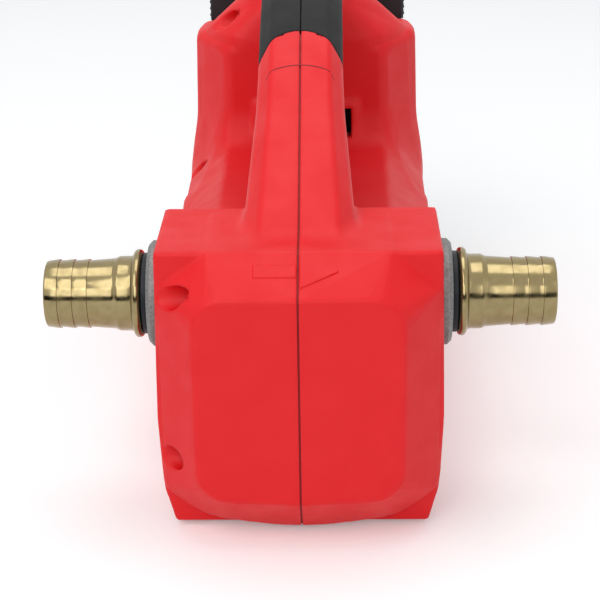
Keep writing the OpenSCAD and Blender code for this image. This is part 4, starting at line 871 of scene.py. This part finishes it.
def makeCamera(v):
    # looks at the target from an azimuth and an elevation, turned about its view by the roll
    data = bpy.data.cameras.new("camera")
    data.lens, data.sensor_width = v["lens"], 36
    data.clip_start, data.clip_end = 0.01, 20
    camera = bpy.data.objects.new("camera", data)
    bpy.context.scene.collection.objects.link(camera)
    a, e, roll = (math.radians(v[k]) for k in ("azimuth", "elevation", "roll"))
    back = Vector((math.sin(a) * math.cos(e), -math.cos(a) * math.cos(e), math.sin(e)))
    camera.location = Vector(v["target"]) + back * v["distance"]
    turn = (-back).to_track_quat("-Z", "Y").to_matrix()
    c, s = math.cos(roll), math.sin(roll)
    right, up = turn.col[0].copy(), turn.col[1].copy()
    turn.col[0], turn.col[1] = right * c - up * s, right * s + up * c
    camera.rotation_mode = "QUATERNION"
    camera.rotation_quaternion = turn.to_quaternion()
    bpy.context.scene.camera = camera


def seenRays(tree):
    # 1 for the rays that show the background itself: from the camera, in a reflection or through glass
    ray = addNode(tree, "ShaderNodeLightPath")
    both = addNode(tree, "ShaderNodeMath", None, {0: (ray, "Is Camera Ray"), 1: (ray, "Is Glossy Ray")},
                   operation="MAXIMUM")
    return addNode(tree, "ShaderNodeMath", None, {0: (both, 0), 1: (ray, "Is Transmission Ray")},
                   operation="MAXIMUM")


def stagePlane(name, corners, colour, glow):
    # a matt plane, lifted towards white by its glow only where the background itself is seen
    mesh = bpy.data.meshes.new(name)
    mesh.from_pydata(corners, [], [(0, 1, 2, 3)])
    plane = bpy.data.objects.new(name, mesh)
    bpy.context.scene.collection.objects.link(plane)
    material = bpy.data.materials.new(name)
    material.use_nodes = True
    tree = material.node_tree
    shader = tree.nodes["Principled BSDF"]
    shader.inputs["Base Color"].default_value = linear(colour)
    shader.inputs["Roughness"].default_value = 0.9
    shader.inputs["Emission Color"].default_value = (1, 1, 1, 1)
    lift = addNode(tree, "ShaderNodeMath", {1: glow}, {0: (seenRays(tree), 0)}, operation="MULTIPLY")
    tree.links.new(lift.outputs[0], shader.inputs["Emission Strength"])
    mesh.materials.append(material)
    return plane


def makeStage():
    # a pale floor, and the card that polished metal mirrors
    half = studio["floorHalf"]
    stagePlane("floor", [(-half, -half, 0), (half, -half, 0), (half, half, 0), (-half, half, 0)],
               studio["floorColour"], studio["floorGlow"])
    # the card stands low behind the camera and isn't seen by it: the dark line along polished metal
    w, y, (low, high) = studio["cardHalf"], studio["cardY"], studio["cardZ"]
    card = stagePlane("darkCard", [(-w, y, low), (w, y, low), (w, y, high), (-w, y, high)],
                      studio["cardColour"], 0.0)
    card.visible_camera = False


def addLamp(name, place, aim, size, power):
    # a soft rectangular lamp at a place, turned to its aim
    data = bpy.data.lights.new(name, "AREA")
    data.shape, data.size, data.size_y, data.energy = "RECTANGLE", size[0], size[1], power
    lamp = bpy.data.objects.new(name, data)
    lamp.location = place
    lamp.rotation_euler = (Vector(aim) - Vector(place)).to_track_quat("-Z", "Y").to_euler()
    bpy.context.scene.collection.objects.link(lamp)


def makeWorld():
    # plain soft light for the object, white where the background itself is seen
    world = bpy.data.worlds.new("studio")
    world.use_nodes = True
    bpy.context.scene.world = world
    tree = world.node_tree
    background = tree.nodes["Background"]
    seen = addNode(tree, "ShaderNodeBackground", {"Color": (1, 1, 1, 1), "Strength": 1.0})
    background.inputs["Color"].default_value = linear(studio["worldColour"])
    background.inputs["Strength"].default_value = studio["worldStrength"]
    mix = addNode(tree, "ShaderNodeMixShader", None,
                  {0: (seenRays(tree), 0), 1: (background, 0), 2: (seen, 0)})
    tree.links.new(mix.outputs[0], tree.nodes["World Output"].inputs["Surface"])


makeCamera(view)
makeStage()
makeWorld()
for name, (place, aim, size, power) in lamps.items():
    addLamp(name, place, aim, size, power)
bpy.context.scene.view_settings.view_transform = "Standard"
print("stage made")
